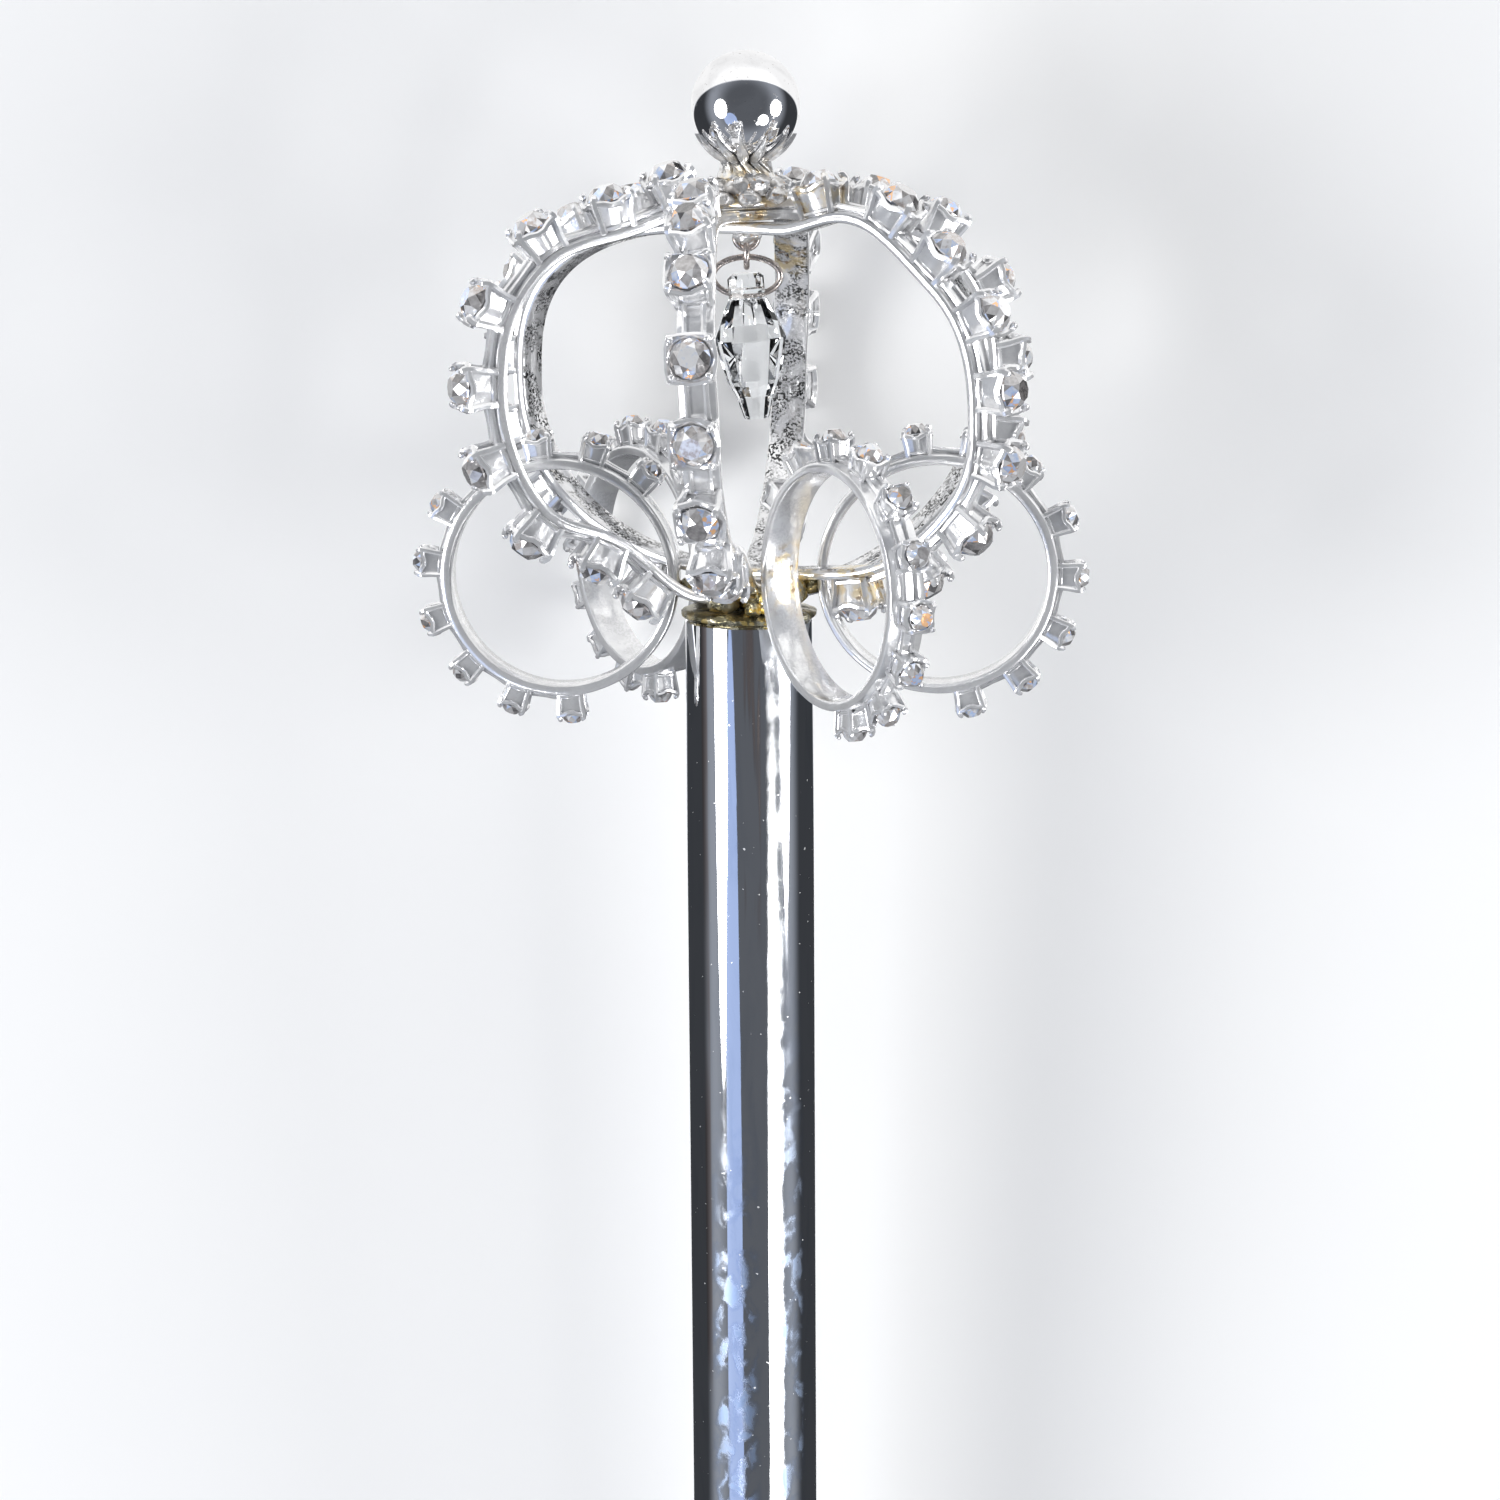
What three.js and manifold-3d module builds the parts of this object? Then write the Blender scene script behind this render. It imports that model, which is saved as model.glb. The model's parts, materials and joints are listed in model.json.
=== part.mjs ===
// A pageant sceptre, lying on its back: a bright plated tube, a cage of three crossed hoops set with
// round stones, four small stone-set rings around its foot, a ball finial above and a glass drop inside.
// Everything is in millimetres. The sceptre is first built upright in its own frame, with z = 0 at the
// rim of the tube and the head above it, and then laid down along +Y.

import * as THREE from 'three';
import { mergeVertices } from 'three/addons/utils/BufferGeometryUtils.js';
import Module from 'manifold-3d';

const wasm = await Module();
wasm.setup();

// Driving dimensions of the shaft
const tubeRadius = 6.35;
const tubeWall = 0.8;
const tubeLength = 400;
const tubeSides = 32;
const gap = 0.3;

// The cap that closes the lower end
const capFlangeRadius = 6.9;
const capFlangeHeight = 1.4;
const capDomeHeight = 1.6;
const capFaceRadius = 4.6;
const capPlugDepth = 6;
const capFlatDepth = 0.25;
const capDomeSteps = 2;
const cutterSize = 40;

// The flat strip and the cups of the three large hoops
const hoopStrip = { width: 3.7, thick: 1.1 };
const hoopRadius = 25;
const hoopSteps = 40;
const hoopCup = { base: 1.75, rim: 2.4, table: 1.45, rimHeight: 3.1, height: 4.2, cornerCut: 0.4 };
const cupEmbed = 0.4;

// Each hoop is nested in the next. The azimuth is that of its near half, from the viewer's side towards
// the right. low and high are heights of its inner face.
const hoops = [
  { name: 'hoop_right_left', azimuth: 60, low: 5.15, high: 38, bend: 0 },
  { name: 'hoop_front_back', azimuth: -10, low: 3.85, high: 39.25, bend: 2.7 },
  { name: 'hoop_left_right', azimuth: -70, low: 2.6, high: 40.5, bend: 0 },
];

// Each half of a hoop has the height of its waist, how full its curve is below and above the waist, and
// how far it swells upwards near the foot, at a distance from the axis, and near the crown.
const halves = {
  hoop_right_left: {
    near: { waist: 20, lower: 2.2, upper: 2.8, foot: -0.8, footAt: 15, crown: 2.2 },
    far: { waist: 23, lower: 2.2, upper: 2.8, foot: 0, footAt: 15, crown: 0 },
  },
  hoop_front_back: {
    near: { waist: 23.5, lower: 2, upper: 2.5, foot: 2.5, footAt: 12, crown: 0 },
    far: { waist: 23.5, lower: 2, upper: 2.5, foot: 0, footAt: 12, crown: 0 },
  },
  hoop_left_right: {
    near: { waist: 23.7, lower: 2, upper: 2.5, foot: 3, footAt: 14, crown: -1.2 },
    far: { waist: 22.3, lower: 2, upper: 2.5, foot: 0, footAt: 14, crown: -1.1 },
  },
};
const crownAt = 12.5;
const swellSpan = 8.5;
const bendRadius = 8;

// The stones of each half: the distance of the first from the foot, the distance between two, the number
const rows = {
  hoop_right_left: { near: [12, 6.1, 9], far: [10.5, 6.5, 9] },
  hoop_front_back: { near: [13.2, 6.55, 8], far: [12.5, 6.6, 8] },
  hoop_left_right: { near: [9.6, 6.72, 9], far: [10.4, 6.75, 8] },
};

// The four small rings that stand out around the foot of the cage
const ringRadius = 11.9;
const ringStrip = { width: 4.1, thick: 1.05 };
const ringSteps = 28;
const ringPitch = 25;
const ringCup = { base: 1.2, rim: 1.55, table: 0.95, rimHeight: 2.2, height: 3, cornerCut: 0 };

// Each ring stands in an upright plane of its own azimuth, which passes the axis at the given shift. Its
// middle is at a reach and a height, and it is as broad as its breadth on each side of the middle.
const rings = [
  { name: 'ring_front_right', azimuth: 32.8, shift: -1.97, reach: 19.2, height: 5.9, breadth: 11.2 },
  { name: 'ring_right', azimuth: 85, shift: 0, reach: 18.75, height: 4.7, breadth: ringRadius },
  { name: 'ring_left', azimuth: -95, shift: 0, reach: 18.75, height: 4.1, breadth: ringRadius },
  { name: 'ring_back_left', azimuth: -147, shift: 0, reach: 18.75, height: 3.6, breadth: ringRadius },
];

// The stones of each ring: the angle of the first from its outermost point, and the number
const ringRows = {
  ring_front_right: [-80, 10],
  ring_right: [-76, 9],
  ring_left: [-94, 10],
  ring_back_left: [-98, 10],
};

// The wide strips of the rings are notched where a hoop passes, with this much room around it.
const notchRoom = 0.3;

// The solder disc on the tube and the finial on the crossing of the hoops
const hubRadius = 6.75;
const hubTop = 1.2;
const hubEdgeHeight = 0.85;
const hubTopRadius = 5.4;
const hubPlugDepth = 2;
const hubSides = 20;
const collarRadius = 2.9;
const collarBottom = 41.9;
const collarTop = 43;
const collarSides = 16;
const ballRadius = 5.3;
const ballHeight = 50.3;
const ballSegments = 20;

// The leaves of the cup under the ball. One of them is at the given angle.
const leaves = 12;
const leafAngle = -6;
const leafTipHeight = 47.6;
const leafNotchHeight = 45.3;
const cupNeckHeight = 43.3;
const cupNeckRadius = 2.9;
const cupBowlHeight = 44.9;
const cupSkin = 0.55;
const leafTipSkin = 0.3;

// The glass drop and the wires that it hangs on
const wireRadius = 0.3;
const wireSides = 5;
const eyeRadius = 1.1;
const eyeHeight = 37.6;
const eyeSteps = 8;
const linkRadius = 1.3;
const linkHeight = 36;
const linkSteps = 14;
const loopHalfWidth = 3.3;
const loopHalfHeight = 1.9;
const loopHeight = 33.8;
const loopSteps = 18;
const dropSides = 6;
const dropCorner = 30;
const dropLean = 4.3;
const dropHoleRadius = 0.75;
const dropHoleHeight = 32.05;
const dropHoleLength = 10;
const dropHoleSides = 8;

// Radius and height of the corners of the drop, from its lower end up
const dropRings = [
  [1.45, 19.9],
  [2.1, 22.2],
  [3, 23.8],
  [4.05, 27.8],
  [2.5, 31],
  [2.05, 31.7],
  [2.05, 33.7],
  [1.5, 34.1],
];

// How the sceptre lies: the lean of its axis, and its turn about that axis
const restTilt = 3.1506;
const restRoll = -0.4883;

const degrees = THREE.MathUtils.degToRad;
const silver = { color: 0xc9cbcf, roughness: 0.18, metalness: 1 };
const tarnish = { color: 0x8d8768, roughness: 0.5, metalness: 0.8 };
const chrome = { color: 0xd9dde2, roughness: 0.06, metalness: 1 };
const nickel = { color: 0xa79a92, roughness: 0.3, metalness: 1 };
const glass = { color: 0xe8eef0, roughness: 0.03, metalness: 0 };

// A plan direction for an azimuth: 0 is towards the viewer, 90 to the right.
function heading(azimuth) {
  return new THREE.Vector3(Math.sin(degrees(azimuth)), -Math.cos(degrees(azimuth)), 0);
}

// A closed skin through sections with equally many points, either as a loop or with flat ends.
function loft(sections, loop) {
  const count = sections[0].length;
  const positions = sections.flat().flatMap((p) => [p.x, p.y, p.z]);
  const index = [];
  const bands = loop ? sections.length : sections.length - 1;
  for (let i = 0; i < bands; i += 1) {
    const lower = i * count;
    const upper = ((i + 1) % sections.length) * count;
    for (let k = 0; k < count; k += 1) {
      const next = (k + 1) % count;
      index.push(lower + k, lower + next, upper + next);
      index.push(lower + k, upper + next, upper + k);
    }
  }
  if (!loop) {
    const last = (sections.length - 1) * count;
    for (let k = 1; k < count - 1; k += 1) {
      index.push(0, k + 1, k);
      index.push(last, last + k, last + k + 1);
    }
  }
  const geometry = new THREE.BufferGeometry();
  geometry.setAttribute('position', new THREE.Float32BufferAttribute(positions, 3));
  geometry.setIndex(index);
  return geometry;
}

// A geometry as a solid that can be joined and cut, turned right side out.
function toSolid(geometry) {
  const bare = geometry.clone();
  bare.deleteAttribute('normal');
  bare.deleteAttribute('uv');
  const merged = mergeVertices(bare, 1e-4);
  const vertProperties = new Float32Array(merged.attributes.position.array);
  const triVerts = new Uint32Array(merged.index.array);
  const solid = new wasm.Manifold(new wasm.Mesh({ numProp: 3, vertProperties, triVerts }));
  if (solid.volume() > 0) {
    return solid;
  }
  triVerts.reverse();
  return new wasm.Manifold(new wasm.Mesh({ numProp: 3, vertProperties, triVerts }));
}

function toGeometry(solid) {
  const mesh = solid.getMesh();
  const geometry = new THREE.BufferGeometry();
  geometry.setAttribute('position', new THREE.BufferAttribute(new Float32Array(mesh.vertProperties), 3));
  geometry.setIndex(new THREE.BufferAttribute(new Uint32Array(mesh.triVerts), 1));
  return geometry;
}

function toMesh(name, geometry, finish) {
  const mesh = new THREE.Mesh(toGeometry(toSolid(geometry)), new THREE.MeshStandardMaterial(finish));
  mesh.name = name;
  return mesh;
}

// The frame of a strip at a point of its path: outward, sideways and along.
function stripFrame(point, along, outward) {
  const tangent = along.clone().normalize();
  const side = tangent.clone().cross(outward).normalize();
  return { point, along: tangent, side, out: side.clone().cross(tangent).normalize() };
}

// The four corners of a strip whose inner face is on the path, with some room around it.
function stripSection(frame, strip, room) {
  const half = strip.width / 2 + room;
  const outer = strip.thick + room;
  const corners = [[-half, -room], [half, -room], [half, outer], [-half, outer]];
  return corners.map(([across, up]) => frame.point.clone()
    .addScaledVector(frame.side, across)
    .addScaledVector(frame.out, up));
}

// A stone in its four-cornered cup: a flaring box, with cut corners where it is large enough for them,
// closed by the crown of the stone.
function cupSolid(frame, foot, cup, room) {
  const squareOutline = [[1, 1], [-1, 1], [-1, -1], [1, -1]];
  const side = 1 - cup.cornerCut;
  const cutOutline = squareOutline.flatMap(([a, b]) => {
    const first = [a, b * side];
    const second = [a * side, b];
    return a * b > 0 ? [first, second] : [second, first];
  });
  const outline = cup.cornerCut > 0 ? cutOutline : squareOutline;
  const levels = [
    [foot - cupEmbed, cup.base],
    [foot + cup.rimHeight, cup.rim],
    [foot + cup.height + room, cup.table],
  ];
  const sections = levels.map(([height, half]) => outline.map(([a, b]) => frame.point.clone()
    .addScaledVector(frame.side, a * (half + room))
    .addScaledVector(frame.along, b * (half + room))
    .addScaledVector(frame.out, height)));
  return toSolid(loft(sections, false));
}

// A smooth swelling around a distance from the axis, 1 at its middle and 0 beyond its span.
function swell(across, centre) {
  const share = Math.min(1, Math.abs(Math.abs(across) - centre) / swellSpan);
  return Math.cos((Math.PI / 2) * share) ** 2;
}

// The inner face of a hoop, from its foot up over the near side and down the far one. The lower part is
// a half ellipse and the upper part a fuller curve, and a bent hoop swerves sideways near its crossing.
function hoopPoint(hoop, angle) {
  const half = Math.cos(angle) >= 0 ? halves[hoop.name].near : halves[hoop.name].far;
  const rising = Math.sin(angle);
  const fullness = rising > 0 ? half.upper : half.lower;
  const reach = rising > 0 ? hoop.high - half.waist : half.waist - hoop.low;
  const shape = (value) => Math.sign(value) * Math.abs(value) ** (2 / fullness);
  const across = hoopRadius * shape(Math.cos(angle));
  const level = half.waist + reach * shape(rising);
  const raised = rising > 0 ? half.crown * swell(across, crownAt) : half.foot * swell(across, half.footAt);
  const lift = Math.max(0, (level - half.waist) / (hoop.high - half.waist));
  const swerve = hoop.bend * lift * (across / bendRadius) * Math.exp(1 - Math.abs(across) / bendRadius);
  const plane = heading(hoop.azimuth);
  const sideways = heading(hoop.azimuth - 90);
  return plane.multiplyScalar(across).addScaledVector(sideways, swerve).setZ(level + raised);
}

function hoopPath(hoop) {
  const fine = 240;
  const points = [];
  for (let i = 0; i < fine; i += 1) {
    points.push(hoopPoint(hoop, -Math.PI / 2 + (2 * Math.PI * i) / fine));
  }
  const path = new THREE.CatmullRomCurve3(points, true, 'chordal');
  path.arcLengthDivisions = 1200;
  return path;
}

function pathFrame(path, share, centre) {
  const wrapped = ((share % 1) + 1) % 1;
  const point = path.getPointAt(wrapped);
  const along = path.getTangentAt(wrapped);
  return stripFrame(point, along, point.clone().sub(centre));
}

// One hoop with its cups, with some room around it.
function hoopSolid(hoop, room) {
  const path = hoopPath(hoop);
  const length = path.getLength();
  const { near, far } = halves[hoop.name];
  const centre = new THREE.Vector3(0, 0, (near.waist + far.waist) / 2);
  const sections = [];
  for (let i = 0; i < hoopSteps; i += 1) {
    sections.push(stripSection(pathFrame(path, i / hoopSteps, centre), hoopStrip, room));
  }
  let solid = toSolid(loft(sections, true));
  for (const [row, turn] of [[rows[hoop.name].near, 1], [rows[hoop.name].far, -1]]) {
    const [first, pitch, count] = row;
    for (let k = 0; k < count; k += 1) {
      const frame = pathFrame(path, (turn * (first + k * pitch)) / length, centre);
      solid = solid.add(cupSolid(frame, hoopStrip.thick, hoopCup, room));
    }
  }
  return solid;
}

// One small ring with its cups on the outside.
function ringSolid(ring) {
  const outwards = heading(ring.azimuth);
  const sideways = heading(ring.azimuth + 90);
  const middle = outwards.clone().multiplyScalar(ring.reach);
  middle.addScaledVector(sideways, ring.shift).setZ(ring.height);
  const halfBreadth = ring.breadth - ringStrip.thick;
  const halfHeight = ringRadius - ringStrip.thick;
  const frameAt = (angle) => {
    const out = outwards.clone().multiplyScalar(halfBreadth * Math.cos(angle)).setZ(halfHeight * Math.sin(angle));
    const along = outwards.clone().multiplyScalar(-halfBreadth * Math.sin(angle));
    along.setZ(halfHeight * Math.cos(angle));
    return stripFrame(middle.clone().add(out), along, out);
  };
  const sections = [];
  for (let i = 0; i < ringSteps; i += 1) {
    sections.push(stripSection(frameAt((2 * Math.PI * i) / ringSteps), ringStrip, 0));
  }
  let solid = toSolid(loft(sections, true));
  const [firstStone, stones] = ringRows[ring.name];
  for (let k = 0; k < stones; k += 1) {
    const frame = frameAt(degrees(firstStone + k * ringPitch));
    solid = solid.add(cupSolid(frame, ringStrip.thick, ringCup, 0));
  }
  return solid;
}

// A turned piece from a profile of radius and height.
function turned(profile, sides) {
  const points = profile.map(([radius, height]) => new THREE.Vector2(radius, height));
  return new THREE.LatheGeometry(points, sides).rotateX(Math.PI / 2);
}

function tubeMesh() {
  const inner = tubeRadius - tubeWall;
  const profile = [
    [inner, -tubeLength],
    [tubeRadius, -tubeLength],
    [tubeRadius, 0],
    [inner, 0],
    [inner, -tubeLength],
  ];
  return toMesh('shaft_tube', turned(profile, tubeSides), chrome);
}

// The end cap: a plug inside the tube, a flange, and a low dome with a flat face.
function capMesh() {
  const plug = tubeRadius - tubeWall - gap;
  const top = -tubeLength - gap;
  const profile = [
    [0, top + capPlugDepth],
    [plug, top + capPlugDepth],
    [plug, top],
    [capFlangeRadius, top],
    [capFlangeRadius, top - capFlangeHeight],
  ];
  for (let i = 1; i <= capDomeSteps; i += 1) {
    const turn = (Math.PI / 2) * (i / capDomeSteps);
    const radius = capFaceRadius + (capFlangeRadius - capFaceRadius) * Math.cos(turn);
    profile.push([radius, top - capFlangeHeight - capDomeHeight * Math.sin(turn)]);
  }
  profile.push([0, top - capFlangeHeight - capDomeHeight]);
  const body = toSolid(turned(profile, tubeSides));
  const cutter = new THREE.BoxGeometry(cutterSize, cutterSize, cutterSize);
  cutter.translate(0, cutterSize / 2 + capFlangeRadius - capFlatDepth, 0);
  cutter.rotateX(degrees(-restTilt));
  cutter.translate(0, 0, -tubeLength - gap - capFlangeHeight / 2);
  const flat = toSolid(cutter);
  return toMesh('end_cap', toGeometry(body.subtract(flat)), chrome);
}

function hubMesh() {
  const plug = tubeRadius - tubeWall - gap;
  const profile = [
    [0, -hubPlugDepth],
    [plug, -hubPlugDepth],
    [plug, gap],
    [hubRadius, gap],
    [hubRadius, hubEdgeHeight],
    [hubTopRadius, hubTop],
    [0, hubTop],
  ];
  return toMesh('solder_hub', turned(profile, hubSides), tarnish);
}

function collarMesh() {
  const profile = [[0, collarBottom], [collarRadius, collarBottom], [collarRadius, collarTop], [0, collarTop]];
  return toMesh('finial_collar', turned(profile, collarSides), silver);
}

function ballMesh() {
  const sphere = new THREE.SphereGeometry(ballRadius, ballSegments, ballSegments / 2).rotateX(Math.PI / 2);
  return toMesh('finial_ball', sphere.translate(0, 0, ballHeight), chrome);
}

// The leaf cup under the ball: a bowl that follows the ball, with pointed leaves around its edge.
function leafCupMesh() {
  const around = leaves * 2;
  const bowl = ballRadius + gap;
  const neck = () => [cupNeckRadius, cupNeckHeight];
  const onBowl = (height, skin) => [Math.sqrt((bowl + skin) ** 2 - (ballHeight - height) ** 2), height];
  const ringOf = (radiusHeight) => {
    const points = [];
    for (let k = 0; k < around; k += 1) {
      const turn = degrees(leafAngle) + (2 * Math.PI * k) / around;
      const [radius, height] = radiusHeight(k % 2 === 0 ? leafTipHeight : leafNotchHeight);
      points.push(new THREE.Vector3(radius * Math.cos(turn), radius * Math.sin(turn), height));
    }
    return points;
  };
  const middle = (top) => (cupBowlHeight + top) / 2;
  const sections = [
    ringOf(neck),
    ringOf(() => onBowl(cupBowlHeight, cupSkin)),
    ringOf((top) => onBowl(middle(top), cupSkin)),
    ringOf((top) => onBowl(top, leafTipSkin)),
    ringOf((top) => onBowl(top, 0)),
    ringOf((top) => onBowl(middle(top), 0)),
    ringOf(() => onBowl(cupBowlHeight, 0)),
  ];
  return toMesh('leaf_cup', loft(sections, false), silver);
}

// The eye that the link hangs on: a half circle of wire.
function eyeMesh() {
  const points = [];
  for (let i = 0; i <= eyeSteps; i += 1) {
    const turn = Math.PI + (Math.PI * i) / eyeSteps;
    points.push(new THREE.Vector3(eyeRadius * Math.cos(turn), 0, eyeHeight + eyeRadius * Math.sin(turn)));
  }
  const section = new THREE.Shape();
  section.absarc(0, 0, wireRadius, 0, 2 * Math.PI);
  const extrudePath = new THREE.CatmullRomCurve3(points);
  const settings = { steps: eyeSteps, curveSegments: wireSides, extrudePath, bevelEnabled: false };
  return toMesh('drop_eye', new THREE.ExtrudeGeometry(section, settings), nickel);
}

function linkMesh() {
  const torus = new THREE.TorusGeometry(linkRadius, wireRadius, wireSides, linkSteps).rotateY(Math.PI / 2);
  return toMesh('drop_link', torus.translate(0, 0, linkHeight), nickel);
}

// The oval ring through the neck of the drop.
function loopMesh() {
  const torus = new THREE.TorusGeometry(1, wireRadius, wireSides, loopSteps);
  const position = torus.attributes.position;
  for (let i = 0; i < position.count; i += 1) {
    const turn = Math.atan2(position.getY(i), position.getX(i));
    const out = Math.hypot(position.getX(i), position.getY(i)) - 1;
    const x = (loopHalfWidth + out) * Math.cos(turn);
    const z = (loopHalfHeight + out) * Math.sin(turn);
    position.setXYZ(i, x, position.getZ(i), z + loopHeight);
  }
  return toMesh('drop_ring', torus, nickel);
}

// The glass drop: a six-sided urn with a neck, which has a hole for the wire. It hangs a little askew.
function dropMesh() {
  const sections = dropRings.map(([radius, height]) => {
    const points = [];
    for (let k = 0; k < dropSides; k += 1) {
      const turn = degrees(dropCorner) + (2 * Math.PI * k) / dropSides;
      points.push(new THREE.Vector3(radius * Math.cos(turn), radius * Math.sin(turn), height));
    }
    return points;
  });
  const hole = new THREE.CylinderGeometry(dropHoleRadius, dropHoleRadius, dropHoleLength, dropHoleSides);
  hole.rotateZ(Math.PI / 2).translate(0, 0, dropHoleHeight);
  const solid = toSolid(loft(sections, false)).subtract(toSolid(hole));
  const geometry = toGeometry(solid).translate(0, 0, -dropHoleHeight);
  geometry.rotateY(degrees(-dropLean)).translate(0, 0, dropHoleHeight);
  return toMesh('glass_drop', geometry, glass);
}

// The head and the shaft turn together about the axis. The end cap keeps its flat spot underneath.
const sceptre = new THREE.Group();
const turnedParts = new THREE.Group();
turnedParts.add(tubeMesh(), hubMesh());
for (const hoop of hoops) {
  turnedParts.add(toMesh(hoop.name, toGeometry(hoopSolid(hoop, 0)), silver));
}
for (const ring of rings) {
  let solid = ringSolid(ring);
  for (const hoop of hoops) {
    solid = solid.subtract(hoopSolid(hoop, notchRoom));
  }
  turnedParts.add(toMesh(ring.name, toGeometry(solid), silver));
}
turnedParts.add(collarMesh(), leafCupMesh(), ballMesh());
turnedParts.add(eyeMesh(), linkMesh(), loopMesh(), dropMesh());
turnedParts.rotation.z = degrees(restRoll);
sceptre.add(turnedParts, capMesh());
sceptre.rotation.x = degrees(restTilt - 90);

// The origin is under the middle of the whole piece, on the surface that it lies on.
sceptre.updateMatrixWorld(true);
const bounds = new THREE.Box3().setFromObject(sceptre, true);
const middle = bounds.getCenter(new THREE.Vector3());
sceptre.position.set(-middle.x, -middle.y, -bounds.min.z);

const group = new THREE.Group();
group.add(sceptre);

export default group;
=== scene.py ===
# %% [markdown]
# # A pageant sceptre, lying down
#
# The real thing is a bright plated tube with a cage of three crossed hoops on its end. The hoops are
# flat silver strip, and round cut stones in square cups are soldered along their outside. Four small
# rings of the same strip stand out around the foot of the cage, a ball sits on top in a cup of leaves,
# and a glass drop hangs inside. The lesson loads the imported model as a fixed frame, builds each piece in
# millimetres in the sceptre's own upright frame, and then lays it down in the place the frame gives.

# %% Load the frame
import json
import math

import bmesh
import bpy
from mathutils import Matrix, Vector, noise


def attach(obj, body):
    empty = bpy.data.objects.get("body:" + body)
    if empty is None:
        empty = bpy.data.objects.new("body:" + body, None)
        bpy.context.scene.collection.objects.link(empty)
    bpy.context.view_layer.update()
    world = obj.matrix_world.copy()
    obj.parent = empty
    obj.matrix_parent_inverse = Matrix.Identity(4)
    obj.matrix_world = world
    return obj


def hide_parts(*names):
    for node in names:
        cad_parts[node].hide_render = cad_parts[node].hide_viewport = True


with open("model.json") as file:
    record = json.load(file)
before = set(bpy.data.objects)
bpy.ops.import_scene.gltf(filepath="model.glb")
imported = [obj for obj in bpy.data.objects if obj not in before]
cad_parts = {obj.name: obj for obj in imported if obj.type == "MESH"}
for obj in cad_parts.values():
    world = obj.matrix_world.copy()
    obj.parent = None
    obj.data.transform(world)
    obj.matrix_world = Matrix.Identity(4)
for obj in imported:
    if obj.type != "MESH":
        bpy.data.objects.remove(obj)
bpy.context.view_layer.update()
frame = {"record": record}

# %% [markdown]
# ## Where the sceptre lies
#
# Upright, the sceptre's z axis runs up the tube, with z = 0 at the rim that the cage is soldered to, and
# its -Y side faces the viewer. Lying, it rests on the rim of its end cap and on two of its stones, so its
# axis leans a little. The mount on the tail says where the axis ends and which way it points, and the
# small turn about the axis is the one that lets both stones touch. One matrix holds all of that.

# %% The matrix that lays the sceptre down
MM = 0.001
TUBE_LENGTH = 400.0
GAP = 0.3
CAP_FLANGE_HEIGHT = 1.4
CAP_DOME_HEIGHT = 1.6
REST_ROLL = math.radians(-0.4883)

tail = frame["record"]["mounts"][0]
up_the_shaft = -Vector(tail["axis"]).normalized()
tail_height = -(TUBE_LENGTH + GAP + CAP_FLANGE_HEIGHT + CAP_DOME_HEIGHT)
rest_tilt = math.atan2(up_the_shaft.z, up_the_shaft.y)
rim = Vector(tail["pos_m"]) - up_the_shaft * tail_height * MM
LAID = Matrix.Translation(rim) @ Matrix.Rotation(rest_tilt - math.pi / 2, 4, "X") @ Matrix.Scale(MM, 4)
TURNED = LAID @ Matrix.Rotation(REST_ROLL, 4, "Z")
print("axis leans", round(math.degrees(rest_tilt), 3), "degrees")


def in_room(x, y, z):
    """A point of the upright sceptre, in millimetres, where it lies in the room, in metres."""
    return TURNED @ Vector((x, y, z))


# %% [markdown]
# ## The camera
#
# The picture is taken from about 0.4 m, slightly from the head's side, and it shows the head and the
# upper tube. The lens is long for that distance, and the picture leans by less than half a degree.

# %% Camera
CAMERA_LIFT = math.radians(11.4)
CAMERA_DISTANCE = 400.0
CAMERA_ROLL = math.radians(0.4)
AIM_HEIGHT = -13.4
SENSOR_WIDTH = 36.0
LENS = 96.0

turned_axes = TURNED.to_3x3().normalized()
axis_up = turned_axes @ Vector((0, 0, 1))
to_viewer = turned_axes @ Vector((0, -1, 0))
backwards = axis_up * math.sin(CAMERA_LIFT) + to_viewer * math.cos(CAMERA_LIFT)
picture_up = axis_up * math.cos(CAMERA_LIFT) - to_viewer * math.sin(CAMERA_LIFT)
picture_up.rotate(Matrix.Rotation(-CAMERA_ROLL, 3, backwards))
picture_right = picture_up.cross(backwards)

camera_data = bpy.data.cameras.new("camera")
camera_data.lens = LENS
camera_data.sensor_width = SENSOR_WIDTH
camera = bpy.data.objects.new("camera", camera_data)
bpy.context.scene.collection.objects.link(camera)
camera_axes = Matrix((picture_right, picture_up, backwards)).transposed().to_4x4()
camera_place = in_room(0, 0, AIM_HEIGHT) + backwards * CAMERA_DISTANCE * MM
camera.matrix_world = Matrix.Translation(camera_place) @ camera_axes
bpy.context.scene.camera = camera
print("camera at", tuple(round(v, 3) for v in camera.matrix_world.translation))

# %% [markdown]
# ## Wires that can be added and multiplied
#
# A material and a Geometry Nodes tree are both graphs of small nodes. Clicking them together is slow to
# read, so one class wraps a socket: plain arithmetic on it adds Math nodes, and its `node` method adds any
# other node from its type, its settings and what goes into it.


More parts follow.
